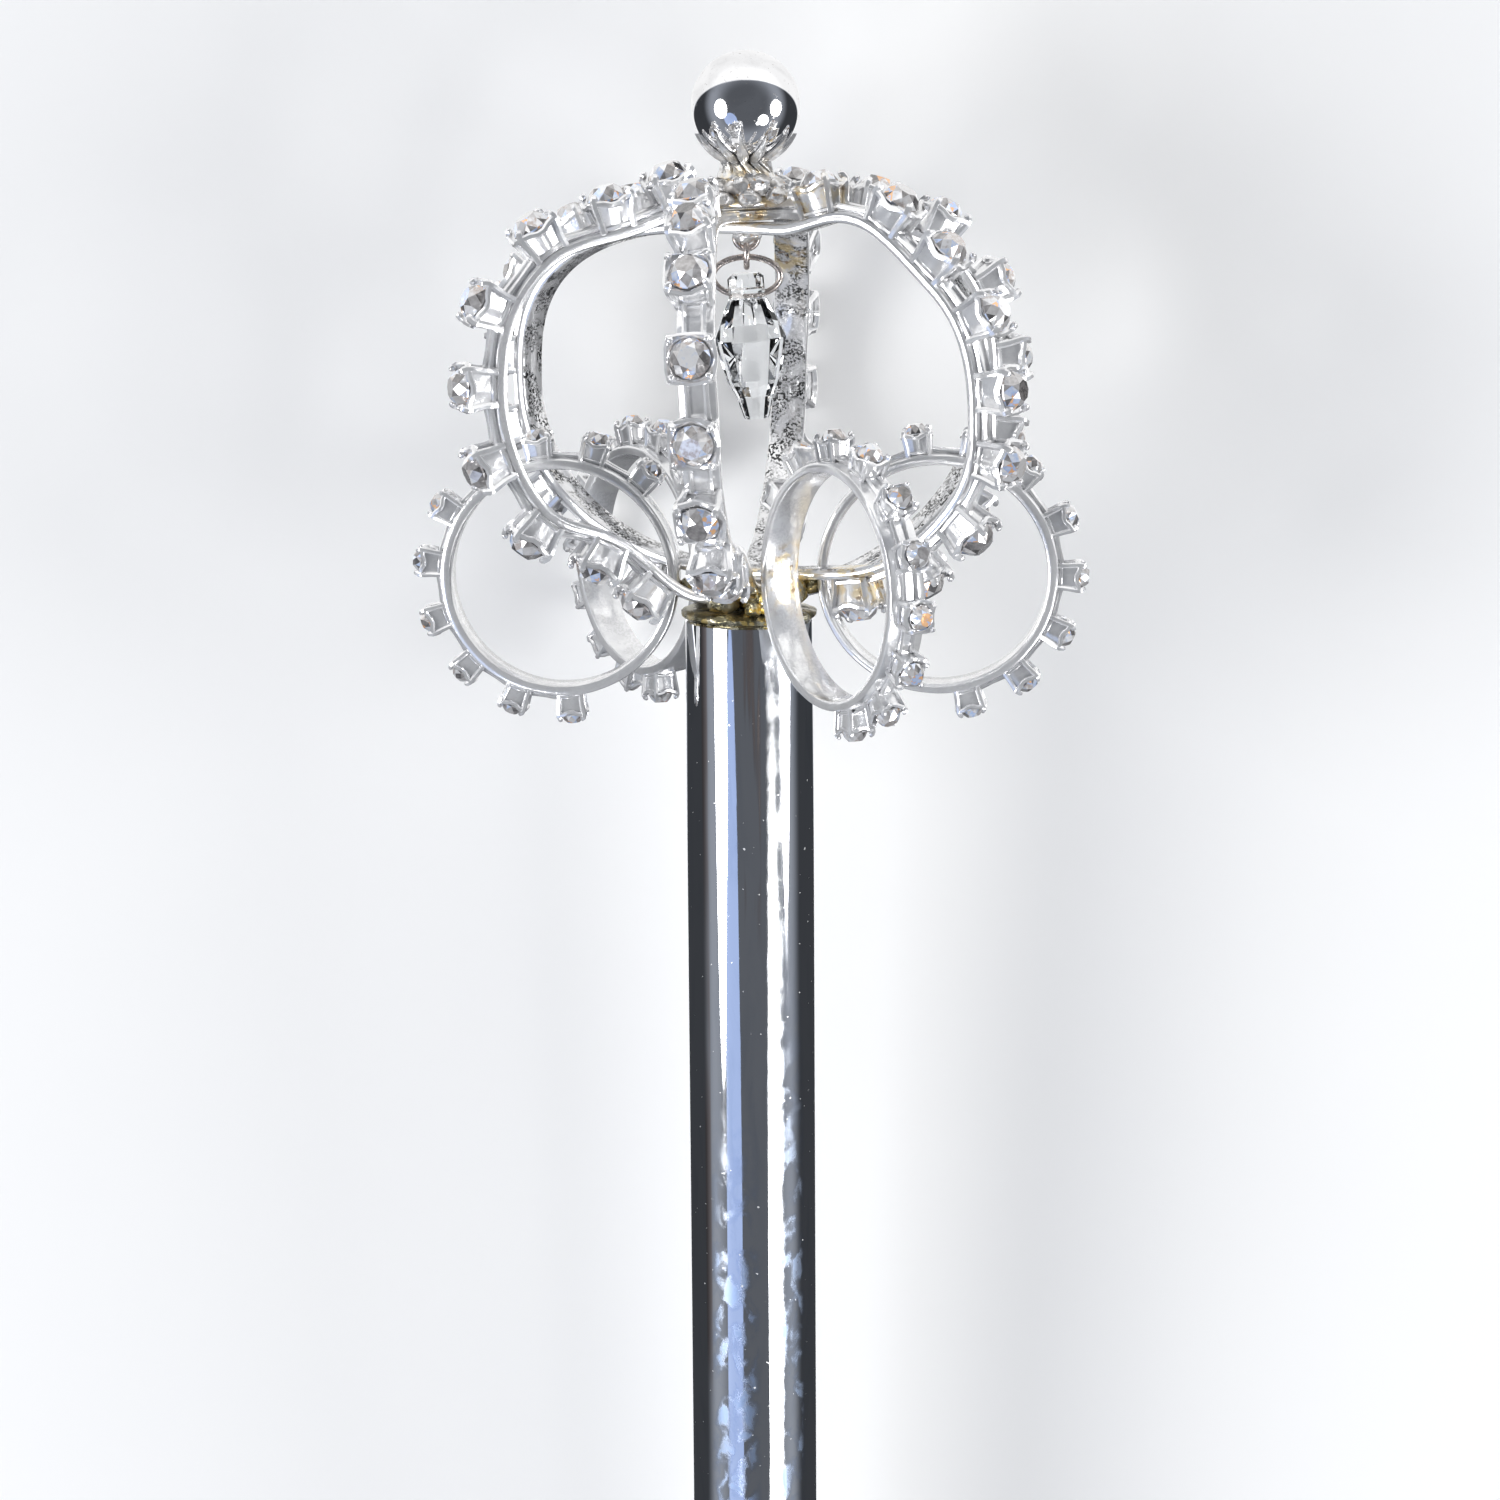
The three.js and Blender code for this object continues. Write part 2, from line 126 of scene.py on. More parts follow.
# %% The wire class
class Wire:
    """A socket of a node tree."""

    def __init__(self, tree, socket=None):
        self.tree = tree
        self.socket = socket

    def node(self, kind, settings=None, inputs=None, output=0):
        """Adds a node, sets it up, feeds it, and returns one of its outputs."""
        made = self.tree.nodes.new(kind)
        for key, value in (settings or {}).items():
            if key == "stops":
                set_stops(made.color_ramp, value)
            else:
                setattr(made, key, value)
        for key, value in (inputs or {}).items():
            if isinstance(value, Wire):
                self.tree.links.new(value.socket, made.inputs[key])
            else:
                made.inputs[key].default_value = value
        return Wire(self.tree, made.outputs[output])

    def also(self, output):
        """Another output of the same node."""
        return Wire(self.tree, self.socket.node.outputs[output])

    def maths(self, operation, first, second):
        return self.node("ShaderNodeMath", {"operation": operation}, {0: first, 1: second})

    def __add__(self, other):
        return self.maths("ADD", self, other)

    def __radd__(self, other):
        return self.maths("ADD", other, self)

    def __sub__(self, other):
        return self.maths("SUBTRACT", self, other)

    def __rsub__(self, other):
        return self.maths("SUBTRACT", other, self)

    def __mul__(self, other):
        return self.maths("MULTIPLY", self, other)

    def __rmul__(self, other):
        return self.maths("MULTIPLY", other, self)

    def part(self, axis):
        """One coordinate of a vector."""
        return self.node("ShaderNodeSeparateXYZ", inputs={0: self}, output=axis)


def set_stops(ramp, stops):
    """Gives a colour ramp its stops, each a place and a colour."""
    while len(ramp.elements) < len(stops):
        ramp.elements.new(1.0)
    for element, (place, colour) in zip(ramp.elements, stops):
        element.position = place
        element.color = (*colour, 1.0)


# %% [markdown]
# ## Patterns for the finishes
#
# Silver plating looks rich because it is never even: it is speckled, smeared and stained. All of these
# are noise at different sizes, cut at two levels to make a mask. A mask then mixes colours or roughness.
# Every pattern reads Object coordinates, and since each piece's origin is the room's, a pattern given in
# millimetres has its real size on every piece.


# %% Pattern helpers
def noise_at(place, size, detail=3.0, distortion=0.0):
    """Noise whose blotches are about as large as the size, in millimetres."""
    inputs = {"Vector": place, "Scale": 1 / (size * MM), "Detail": detail, "Distortion": distortion}
    return place.node("ShaderNodeTexNoise", inputs=inputs)


def between(value, low, high):
    """0 below the low level, 1 above the high one, and smooth from one to the other."""
    inputs = {"Value": value, "From Min": low, "From Max": high}
    return value.node("ShaderNodeMapRange", {"interpolation_type": "SMOOTHSTEP"}, inputs)


def mixed(mask, first, second):
    """The first colour where the mask is 0 and the second where it is 1."""
    colours = [c if isinstance(c, Wire) else (*c, 1.0) for c in (first, second)]
    inputs = {0: mask, 6: colours[0], 7: colours[1]}
    return mask.node("ShaderNodeMix", {"data_type": "RGBA"}, inputs, output=2)


def stain_near(place, spot, inside, outside):
    """1 near a spot of the upright sceptre, falling to 0 at the outside distance, all in millimetres."""
    inputs = {0: place, 1: in_room(*spot)}
    apart = place.node("ShaderNodeVectorMath", {"operation": "DISTANCE"}, inputs, output="Value")
    return 1 - between(apart, inside * MM, outside * MM)


def stretched(place, across, along):
    """Coordinates in which a pattern is drawn out along the sceptre, which lies along Y."""
    inputs = {"Vector": place, "Scale": (1 / across, 1 / along, 1 / across)}
    return place.node("ShaderNodeMapping", inputs=inputs)


def band(value, low, high, soft):
    """1 between two levels in millimetres, with soft edges."""
    rising = between(value, (low - soft) * MM, low * MM)
    falling = between(value, high * MM, (high + soft) * MM)
    return rising * (1 - falling)


def bumped(height, distance):
    """A bump of the given depth in millimetres."""
    inputs = {"Height": height, "Distance": distance * MM, "Strength": 1.0}
    return height.node("ShaderNodeBump", inputs=inputs)


def start_finish(name, **constants):
    """A new material: its Principled shader with plain values, and the Object coordinates."""
    material = bpy.data.materials.new(name)
    material.use_nodes = True
    tree = material.node_tree
    tree.nodes.clear()
    shader = tree.nodes.new("ShaderNodeBsdfPrincipled")
    output = tree.nodes.new("ShaderNodeOutputMaterial")
    tree.links.new(shader.outputs[0], output.inputs[0])
    for socket, value in constants.items():
        shader.inputs[socket.replace("_", " ")].default_value = value
    place = Wire(tree).node("ShaderNodeTexCoord", output="Object")
    return material, shader, place


def feed(shader, **wires):
    """Links the patterns to the shader's sockets."""
    for socket, wire in wires.items():
        wire.tree.links.new(wire.socket, shader.inputs[socket.replace("_", " ")])


# %% [markdown]
# ## Mirror plating for the tube and the ball
#
# Chrome has almost no colour of its own: it is a mirror, and what it shows is the room. What gives it
# away as a handled thing are blue-grey smears along the tube, brown lines where the plating is thin, fine
# dust, and a surface that is not quite true, so the streaks in it waver. In two bands low on the tube a blue
# reflection is painted into the colour, where the plating is also hazy. The tube lies along Y, so the x
# coordinate picks a line along it and the y coordinate a distance from the rim.


# %% Tube plating
RIM_Y = rim.y / MM


def fading(y, start, end):
    """0 nearer the rim than the start and 1 farther than the end, both in millimetres from the rim."""
    return 1 - between(y, (RIM_Y - end) * MM, (RIM_Y - start) * MM)


def tube_plating():
    material, shader, place = start_finish("tube_plating", Metallic=1.0)
    x, y = place.part("X"), place.part("Y")
    smears = between(noise_at(stretched(place, 1, 6), 2.2, 5.0, 0.8), 0.45, 0.75)
    clouds = between(noise_at(stretched(place, 1, 1.6), 1.6, 5.0, 0.4), 0.40, 0.66)
    dust = between(noise_at(place, 0.5, 1.0), 0.75, 0.80)
    # Two bands low on the tube, left and right: a painted blue reflection in the colour, and real haze in the
    # roughness.
    low_left = band(x, -3.6, -0.2, 1.0) * fading(y, 45, 72)
    low_right = band(x, 2.9, 4.7, 0.6) * fading(y, 30, 66)
    haze = (low_left + low_right * 0.9) * clouds
    grey_band = band(x, 1.7, 2.9, 0.4) * (0.35 + clouds * 0.5)
    thin = between(noise_at(stretched(place, 0.16, 60), 7.0, 2.0), 0.50, 0.62)
    brown = band(x, -0.5, 0.8, 0.3) * band(y, RIM_Y - 26, RIM_Y - 1, 8) * thin
    broken = between(noise_at(stretched(place, 1, 12), 3.0, 2.0), 0.40, 0.60)
    brown_side = band(x, -4.7, -4.35, 0.2) * broken
    colour = mixed(smears * 0.5, (0.93, 0.94, 0.96), (0.70, 0.74, 0.80))
    colour = mixed(haze, colour, (0.42, 0.54, 0.76))
    colour = mixed((brown + brown_side) * 0.7, colour, (0.50, 0.36, 0.30))
    colour = mixed(dust, colour, (0.95, 0.95, 0.95))
    waver = noise_at(stretched(place, 1, 7), 9.0, 2.0)
    rough = 0.025 + smears * 0.05 + haze * 0.34 + grey_band * 0.22 + brown * 0.2 + dust * 0.5
    feed(shader, Base_Color=colour, Roughness=rough)
    feed(shader, Normal=bumped(waver + smears * 0.03, 0.045))
    return material


# %% Ball plating
def ball_plating():
    material, shader, place = start_finish("ball_plating", Metallic=1.0)
    specks = between(noise_at(place, 0.35, 2.0), 0.66, 0.74)
    haze = between(noise_at(place, 3.0, 5.0, 0.6), 0.4, 0.7)
    colour = mixed(haze, (0.92, 0.92, 0.93), (0.80, 0.80, 0.81))
    colour = mixed(specks * 0.5, colour, (0.45, 0.43, 0.42))
    feed(shader, Base_Color=colour, Roughness=0.03 + haze * 0.05 + specks * 0.2)
    feed(shader, Normal=bumped(noise_at(place, 2.5, 2.0), 0.012))
    return material


# %% [markdown]
# ## Silver plating for strip, cups and links
#
# The strip is cast and soldered, and the plating over it is bright outside and rough inside: there its
# reflections break up into black and white specks. Heat and flux have left straw-coloured stains where
# the hoops meet, on the upper right hoop and low on the right. A face attribute marks the inside. The
# hoops, the small rings and the cups differ only in how speckled, rough and bumpy they are.

# %% Where heat has stained the silver, with the sizes of the stains
HEAT_STAINS = [
    ((6.5, -3.5, 42.5), 1.5, 4.5),
    ((11.5, -6.5, 5.8), 2.0, 5.0),
    ((1.5, -5.0, 3.5), 2.5, 6.5),
    ((2.5, 20.0, 34.0), 1.5, 5.0),
    ((0.0, -1.5, 41.5), 1.5, 4.5),
    ((3.5, -7.0, 6.5), 1.0, 4.0),
]
STRAW = (1.00, 0.80, 0.45)
BROWN = (0.34, 0.20, 0.10)


def heat_stains(place, colour):
    """Straw and brown stains in patches around the spots that were soldered."""
    patches = between(noise_at(place, 1.2, 4.0), 0.44, 0.58)
    burnt = between(noise_at(place, 0.8, 3.0), 0.60, 0.67)
    near = stain_near(place, *HEAT_STAINS[0])
    for stain in HEAT_STAINS[1:]:
        near = near + stain_near(place, *stain)
    near = between(near, 0.0, 1.0)
    colour = mixed(near * patches * 0.8, colour, STRAW)
    return mixed(near * burnt * 0.75, colour, BROWN)


# How metallic the silver is. The rest of it looks white and frosted.
FROSTED = 0.62


def silver_plating(name, specks_inside, specks_outside, roughness, depth):
    """Plating with how speckled it is on the strip's inner face and elsewhere, and the depth of its bump."""
    material, shader, place = start_finish(name, Metallic=FROSTED)
    inside = place.node("ShaderNodeAttribute", {"attribute_name": "inside"}, output="Fac")
    area = between(noise_at(place, 2.2, 3.0, 0.5), 0.40, 0.56)
    specks = between(noise_at(place, 0.26, 3.0, 0.4), 0.47, 0.53)
    share = inside * (specks_inside - specks_outside) + specks_outside
    dark = area * specks * share
    soft = between(noise_at(place, 1.8, 3.0), 0.40, 0.70)
    colour = mixed(soft, (0.98, 0.98, 0.985), (0.88, 0.88, 0.89))
    colour = mixed(dark, colour, (0.04, 0.04, 0.04))
    colour = heat_stains(place, colour)
    feed(shader, Base_Color=colour, Roughness=soft * 0.08 + dark * 0.2 + roughness)
    feed(shader, Normal=bumped(noise_at(place, 1.1, 2.0) + specks * share * 0.6, depth))
    return material


# %% [markdown]
# ## Leaf plating, solder and wire
#
# The leaf cup is a stamping, and the grooves between its leaves are darkened in the colour as painted shade.
# Solder is soft and dull. At the foot the flux left it olive, and its dark olive is partly flux and partly
# painted shade. It has amber glassy drops, and near the front the amber is stronger and bright specks are
# painted on as glints. At the crown it is silver with brown flecks. The hanging wires are plain nickel, a
# little pink beside the chrome.


# %% Leaf plating
def leaf_plating():
    material, shader, place = start_finish("leaf_plating", Metallic=0.7)
    groove = place.node("ShaderNodeAttribute", {"attribute_name": "groove"}, output="Fac")
    blotches = between(noise_at(place, 0.8, 4.0), 0.45, 0.65)
    colour = mixed(blotches, (0.94, 0.94, 0.94), (0.66, 0.65, 0.64))
    # Painted shade: the grooves between the leaves are darkened almost to black.
    colour = mixed(groove * 0.85, colour, (0.08, 0.075, 0.07))
    colour = heat_stains(place, colour)
    feed(shader, Base_Color=colour, Roughness=0.10 + groove * 0.3 + blotches * 0.1)
    feed(shader, Normal=bumped(noise_at(place, 0.5, 3.0), 0.04))
    return material


# %% Solder at the foot
def solder_finish():
    material, shader, place = start_finish("solder", Coat_Roughness=0.08)
    pools = between(noise_at(place, 1.8, 4.0, 0.6), 0.44, 0.60)
    amber = between(noise_at(place, 1.3, 2.0), 0.50, 0.60)
    # Painted light: near a spot at the front the amber is stronger and bright specks are painted as glints.
    lit = stain_near(place, (3.0, -5.0, 2.6), 2.0, 5.0)
    specks = between(noise_at(place, 0.32, 2.0), 0.56, 0.62)
    # The dark olive is partly flux and partly painted shade.
    colour = mixed(pools, (0.20, 0.18, 0.11), (0.50, 0.47, 0.36))
    colour = mixed(amber * (0.35 + lit * 0.65), colour, (0.90, 0.62, 0.12))
    colour = mixed(specks * lit, colour, (1.00, 0.93, 0.60))
    feed(shader, Base_Color=colour, Metallic=0.9 - amber * 0.3, Roughness=0.16 + pools * 0.18)
    feed(shader, Coat_Weight=amber * 0.8, Normal=bumped(noise_at(place, 0.8, 4.0), 0.20))
    return material


# %% Solder at the crown
def crown_finish():
    material, shader, place = start_finish("crown_solder", Metallic=0.6)
    pools = between(noise_at(place, 1.1, 4.0, 0.6), 0.42, 0.60)
    flecks = between(noise_at(place, 0.7, 3.0), 0.60, 0.66)
    colour = mixed(pools, (0.92, 0.92, 0.92), (0.55, 0.53, 0.51))
    colour = mixed(flecks * 0.8, colour, (0.62, 0.40, 0.20))
    feed(shader, Base_Color=colour, Roughness=0.14 + pools * 0.2)
    feed(shader, Normal=bumped(noise_at(place, 0.7, 4.0), 0.16))
    return material


# %% Nickel wire
def nickel_wire():
    material, shader, place = start_finish("nickel_wire", Metallic=1.0)
    drawn = between(noise_at(place, 0.5, 3.0), 0.4, 0.65)
    colour = mixed(drawn, (0.72, 0.65, 0.61), (0.45, 0.39, 0.36))
    feed(shader, Base_Color=colour, Roughness=0.22 + drawn * 0.16)
    feed(shader, Normal=bumped(noise_at(place, 0.25, 2.0), 0.02))
    return material


# %% [markdown]
# ## Cut stones and clear glass
#
# The stones are glass with a foil behind, so they send light back instead of letting it through, and
# each facet shows something else: near black, grey-brown, white, or a flash of blue or orange. These are
# painted reflections and flashes: a random number on each face picks from a ramp of those, under a clear
# coat. The drop has no foil, so it is real clear glass, by plain values on the shader, with only faint smears
# in its roughness.


# %% Cut stone
def cut_stone():
    material, shader, place = start_finish("cut_stone", Metallic=0.42, Coat_Weight=1.0, Coat_Roughness=0.015)
    facet = place.node("ShaderNodeAttribute", {"attribute_name": "facet"}, output="Fac")
    # Painted reflections: each facet's colour stands for what it reflects, with flashes of blue and orange.
    painted_facet_reflections = [
        (0.00, (0.13, 0.125, 0.125)),
        (0.16, (0.34, 0.325, 0.32)),
        (0.32, (0.58, 0.565, 0.56)),
        (0.50, (0.78, 0.77, 0.77)),
        (0.60, (0.55, 0.48, 0.44)),
        (0.68, (0.92, 0.92, 0.94)),
        (0.78, (1.00, 1.00, 1.00)),
        (0.955, (0.50, 0.66, 1.00)),
        (0.98, (1.00, 0.58, 0.30)),
    ]
    cloud = noise_at(place, 0.5, 2.0) - 0.5
    ramp = place.node("ShaderNodeValToRGB", {"stops": painted_facet_reflections}, {0: facet + cloud * 0.4})
    feed(shader, Base_Color=ramp, Roughness=0.05 + between(cloud, 0.0, 0.3) * 0.15)
    return material


# %% Clear glass
def clear_glass():
    values = {"Base_Color": (0.97, 0.985, 0.99, 1.0), "Transmission_Weight": 1.0, "IOR": 1.53}
    material, shader, place = start_finish("clear_glass", **values)
    feed(shader, Roughness=between(noise_at(place, 1.5, 3.0), 0.55, 0.8) * 0.06)
    return material


# %% Make the finishes
TUBE_PLATING = tube_plating()
BALL_PLATING = ball_plating()
LEAF_PLATING = leaf_plating()
HOOP_PLATING = silver_plating("hoop_plating", 1.0, 0.10, 0.07, 0.014)
RING_PLATING = silver_plating("ring_plating", 0.12, 0.05, 0.13, 0.03)
CUP_PLATING = silver_plating("cup_plating", 0.08, 0.08, 0.07, 0.014)
SOLDER = solder_finish()
CROWN_SOLDER = crown_finish()
NICKEL = nickel_wire()
CUT_STONE = cut_stone()
CLEAR_GLASS = clear_glass()
print("finishes:", len(bpy.data.materials))

# %% [markdown]
# ## From points to a finished piece
#
# Most pieces here are lofts: a row of sections with equally many points, joined by bands of faces. A loft
# may close on itself, as a hoop does, or end in flat caps. A turned piece is a loft too, of one profile
# carried round the axis. Points that meet on the axis are merged, and then the faces are turned outwards.


# %% Loft and lathe
def mesh_of(name, points, faces, place):
    """A mesh with merged points and faces that point outwards, put in its place."""
    mesh = bpy.data.meshes.new(name)
    mesh.from_pydata([tuple(p) for p in points], [], faces)
    solid = bmesh.new()
    solid.from_mesh(mesh)
    bmesh.ops.remove_doubles(solid, verts=solid.verts, dist=1e-4)
    bmesh.ops.dissolve_degenerate(solid, edges=solid.edges, dist=1e-5)
    bmesh.ops.recalc_face_normals(solid, faces=solid.faces)
    solid.transform(place)
    solid.to_mesh(mesh)
    solid.free()
    return mesh


def loft_faces(sections, around, loop, start=0):
    """The faces between sections of so many points each, and the caps of an open loft."""
    faces = []
    for i in range(sections if loop else sections - 1):
        lower = start + i * around
        upper = start + ((i + 1) % sections) * around
        for k in range(around):
            n = (k + 1) % around
            faces.append((lower + k, lower + n, upper + n, upper + k))
    if not loop:
        faces.append(tuple(start + k for k in reversed(range(around))))
        faces.append(tuple(start + (sections - 1) * around + k for k in range(around)))
    return faces


def loft(name, sections, loop=False, place=TURNED):
    points = [p for section in sections for p in section]
    return mesh_of(name, points, loft_faces(len(sections), len(sections[0]), loop), place)


def turned(name, profile, steps, place=TURNED):
    """A closed profile of radius and height, carried round the axis."""
    sections = []
    for k in range(steps):
        turn = 2 * math.pi * k / steps
        sections.append([Vector((r * math.cos(turn), r * math.sin(turn), z)) for r, z in profile])
    return loft(name, sections, loop=True, place=place)


def add_piece(name, mesh, finish, slot, *nodes, sharp=40):
    """A finished piece of the sceptre, which stands for CAD nodes."""
    mesh.materials.clear()
    mesh.materials.append(finish)
    mesh.shade_smooth()
    mesh.set_sharp_from_angle(angle=math.radians(sharp))
    piece = bpy.data.objects.new(name, mesh)
    bpy.context.scene.collection.objects.link(piece)
    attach(piece, "root")
    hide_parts(*nodes)
    print(name, len(mesh.polygons), "faces")
    return piece


# %% [markdown]
# ## The tube and its end cap
#
# A chrome tube is only convincing when its outline is perfectly round, so it has many more sides than the
# CAD's. Its lips are eased as a deburred tube's are. The cap is a flange with a low dome, and the spot that
# it rests on has worn flat: a cut along the floor makes it.

# %% Tube
TUBE_RADIUS = 6.35
TUBE_WALL = 0.8
TUBE_SIDES = 128
LIP = 0.15

inner = TUBE_RADIUS - TUBE_WALL
tube_profile = [
    (inner, -TUBE_LENGTH + LIP),
    (inner + LIP, -TUBE_LENGTH),
    (TUBE_RADIUS - LIP, -TUBE_LENGTH),
    (TUBE_RADIUS, -TUBE_LENGTH + LIP),
    (TUBE_RADIUS, -LIP),
    (TUBE_RADIUS - LIP, 0),
    (inner + LIP, 0),
    (inner, -LIP),
]
tube_mesh = turned("chrome_tube", tube_profile, TUBE_SIDES)
add_piece("chrome_tube", tube_mesh, TUBE_PLATING, "tube_plating", "shaft_tube")

# %% End cap
CAP_FLANGE_RADIUS = 6.9
CAP_FACE_RADIUS = 4.6
CAP_PLUG_DEPTH = 6.0
CAP_ROUND = 0.2
CAP_DOME_STEPS = 10


def cap_profile():
    plug = inner - GAP
    top = -TUBE_LENGTH - GAP
    low = top - CAP_FLANGE_HEIGHT
    profile = [(0, top + CAP_PLUG_DEPTH), (plug, top + CAP_PLUG_DEPTH), (plug, top)]
    profile += [(CAP_FLANGE_RADIUS - CAP_ROUND, top), (CAP_FLANGE_RADIUS, top - CAP_ROUND)]
    profile.append((CAP_FLANGE_RADIUS, low))
    for i in range(1, CAP_DOME_STEPS + 1):
        turn = math.pi / 2 * i / CAP_DOME_STEPS
        radius = CAP_FACE_RADIUS + (CAP_FLANGE_RADIUS - CAP_FACE_RADIUS) * math.cos(turn)
        profile.append((radius, low - CAP_DOME_HEIGHT * math.sin(turn)))
    return profile + [(0, low - CAP_DOME_HEIGHT)]


def cut_at_floor(mesh):
    """Cuts away what lies below the floor and closes the cut."""
    solid = bmesh.new()
    solid.from_mesh(mesh)
    everything = list(solid.verts) + list(solid.edges) + list(solid.faces)
    plane = {"plane_co": (0, 0, 0), "plane_no": (0, 0, -1)}
    cut = bmesh.ops.bisect_plane(solid, geom=everything, clear_outer=True, **plane)
    edges = [e for e in cut["geom_cut"] if isinstance(e, bmesh.types.BMEdge)]
    bmesh.ops.holes_fill(solid, edges=edges)
    bmesh.ops.recalc_face_normals(solid, faces=solid.faces)
    solid.to_mesh(mesh)
    solid.free()
    return mesh


cap_mesh = cut_at_floor(turned("closing_cap", cap_profile(), TUBE_SIDES, place=LAID))
add_piece("closing_cap", cap_mesh, TUBE_PLATING, "tube_plating", "end_cap", sharp=30)

# %% [markdown]
# ## The paths of the hoops and rings
#
# Each hoop stands in an upright plane through the axis. Its curve is fuller than an ellipse above the
# widest point, so the cage has broad shoulders, and its two halves differ a little, as hand-bent strip
# does: a half has its own waist and may swell near the foot or the crown. The middle hoop also swerves
# sideways near the crossing. A path is a fine row of points and the distance of each from the first, so
# that a strip, a cup or a link can be put at any distance.

# %% Sizes of the hoops
HOOP_RADIUS = 25.0
CROWN_AT = 12.5
SWELL_SPAN = 8.5
BEND_RADIUS = 8.0
HOOP_STRIP = {"width": 3.7, "thick": 1.1}
PATH_POINTS = 720

HOOPS = {
    "hoop_right_left": {
        "azimuth": 60, "low": 5.15, "high": 38, "bend": 0,
        "near": {"waist": 20, "lower": 2.2, "upper": 2.8, "foot": -0.8, "foot_at": 15, "crown": 2.2},
        "far": {"waist": 23, "lower": 2.2, "upper": 2.8, "foot": 0, "foot_at": 15, "crown": 0},
        "near_row": (12, 6.1, 9),
        "far_row": (10.5, 6.5, 9),
    },
    "hoop_front_back": {
        "azimuth": -10, "low": 3.85, "high": 39.25, "bend": 2.7,
        "near": {"waist": 23.5, "lower": 2, "upper": 2.5, "foot": 2.5, "foot_at": 12, "crown": 0},
        "far": {"waist": 23.5, "lower": 2, "upper": 2.5, "foot": 0, "foot_at": 12, "crown": 0},
        "near_row": (13.2, 6.55, 8),
        "far_row": (12.5, 6.6, 8),
    },
    "hoop_left_right": {
        "azimuth": -70, "low": 2.6, "high": 40.5, "bend": 0,
        "near": {"waist": 23.7, "lower": 2, "upper": 2.5, "foot": 3, "foot_at": 14, "crown": -1.2},
        "far": {"waist": 22.3, "lower": 2, "upper": 2.5, "foot": 0, "foot_at": 14, "crown": -1.1},
        "near_row": (9.6, 6.72, 9),
        "far_row": (10.4, 6.75, 8),
    },
}


# %% Points of a hoop and of a ring
def heading(azimuth):
    """A plan direction: 0 degrees is towards the viewer, and 90 is to the right."""
    turn = math.radians(azimuth)
    return Vector((math.sin(turn), -math.cos(turn), 0))


def shaped(value, fullness):
    return math.copysign(abs(value) ** (2 / fullness), value)


def swell(across, centre):
    """A smooth swelling around a distance from the axis, 1 at its middle and 0 beyond its span."""
    share = min(1, abs(abs(across) - centre) / SWELL_SPAN)
    return math.cos(math.pi / 2 * share) ** 2


def hoop_point(hoop, angle):
    """The inner face of a hoop, from its foot up over the near side and down the far one."""
    half = hoop["near"] if math.cos(angle) >= 0 else hoop["far"]
    waist = half["waist"]
    rising = math.sin(angle)
    fullness = half["upper"] if rising > 0 else half["lower"]
    reach = hoop["high"] - waist if rising > 0 else waist - hoop["low"]
    across = HOOP_RADIUS * shaped(math.cos(angle), fullness)
    level = waist + reach * shaped(rising, fullness)
    if rising > 0:
        raised = half["crown"] * swell(across, CROWN_AT)
    else:
        raised = half["foot"] * swell(across, half["foot_at"])
    lift = max(0, (level - waist) / (hoop["high"] - waist))
    swerve = hoop["bend"] * lift * (across / BEND_RADIUS) * math.exp(1 - abs(across) / BEND_RADIUS)
    point = heading(hoop["azimuth"]) * across + heading(hoop["azimuth"] - 90) * swerve
    return point + Vector((0, 0, level + raised))


class Path:
    """A closed row of points, with the distance of each one from the first."""

    def __init__(self, name, points, centre):
        self.name = name
        self.points = points
        self.centre = centre
        self.marks = [0.0]
        for here, there in zip(points, points[1:] + points[:1]):
            self.marks.append(self.marks[-1] + (there - here).length)
        self.length = self.marks[-1]

    def sections(self, steps, outline):
        """The outline, given across and outwards, set upright on evenly spaced points."""
        made = []
        k = 0
        for i in range(steps):
            distance = self.length * i / steps
            while self.marks[k + 1] < distance:
                k += 1
            here = self.points[k]
            there = self.points[(k + 1) % len(self.points)]
            before = self.points[k - 1]
            after = self.points[(k + 2) % len(self.points)]
            share = (distance - self.marks[k]) / (self.marks[k + 1] - self.marks[k])
            point = here.lerp(there, share)
            along = (after - before).normalized()
            side = along.cross(point - self.centre).normalized()
            out = side.cross(along)
            made.append([point + side * a + out * b for a, b in outline(i / steps)])
        return made

    def distance_at(self, share):
        """The distance of a point from the first, at a share of the row of points."""
        return self.marks[round(share * len(self.points))]

    def as_curve(self):
        """A curve object of the path, for Geometry Nodes to sample."""
        curve = bpy.data.curves.new(self.name + "_path", "CURVE")
        curve.dimensions = "3D"
        spline = curve.splines.new("POLY")
        spline.points.add(len(self.points) - 1)
        for target, point in zip(spline.points, self.points):
            target.co = (*point, 1)
        spline.use_cyclic_u = True
        holder = bpy.data.objects.new(curve.name, curve)
        bpy.context.scene.collection.objects.link(holder)
        return holder


def hoop_path(name):
    hoop = HOOPS[name]
    turns = [-math.pi / 2 + 2 * math.pi * i / PATH_POINTS for i in range(PATH_POINTS)]
    centre = Vector((0, 0, (hoop["near"]["waist"] + hoop["far"]["waist"]) / 2))
    return Path(name, [hoop_point(hoop, turn) for turn in turns], centre)


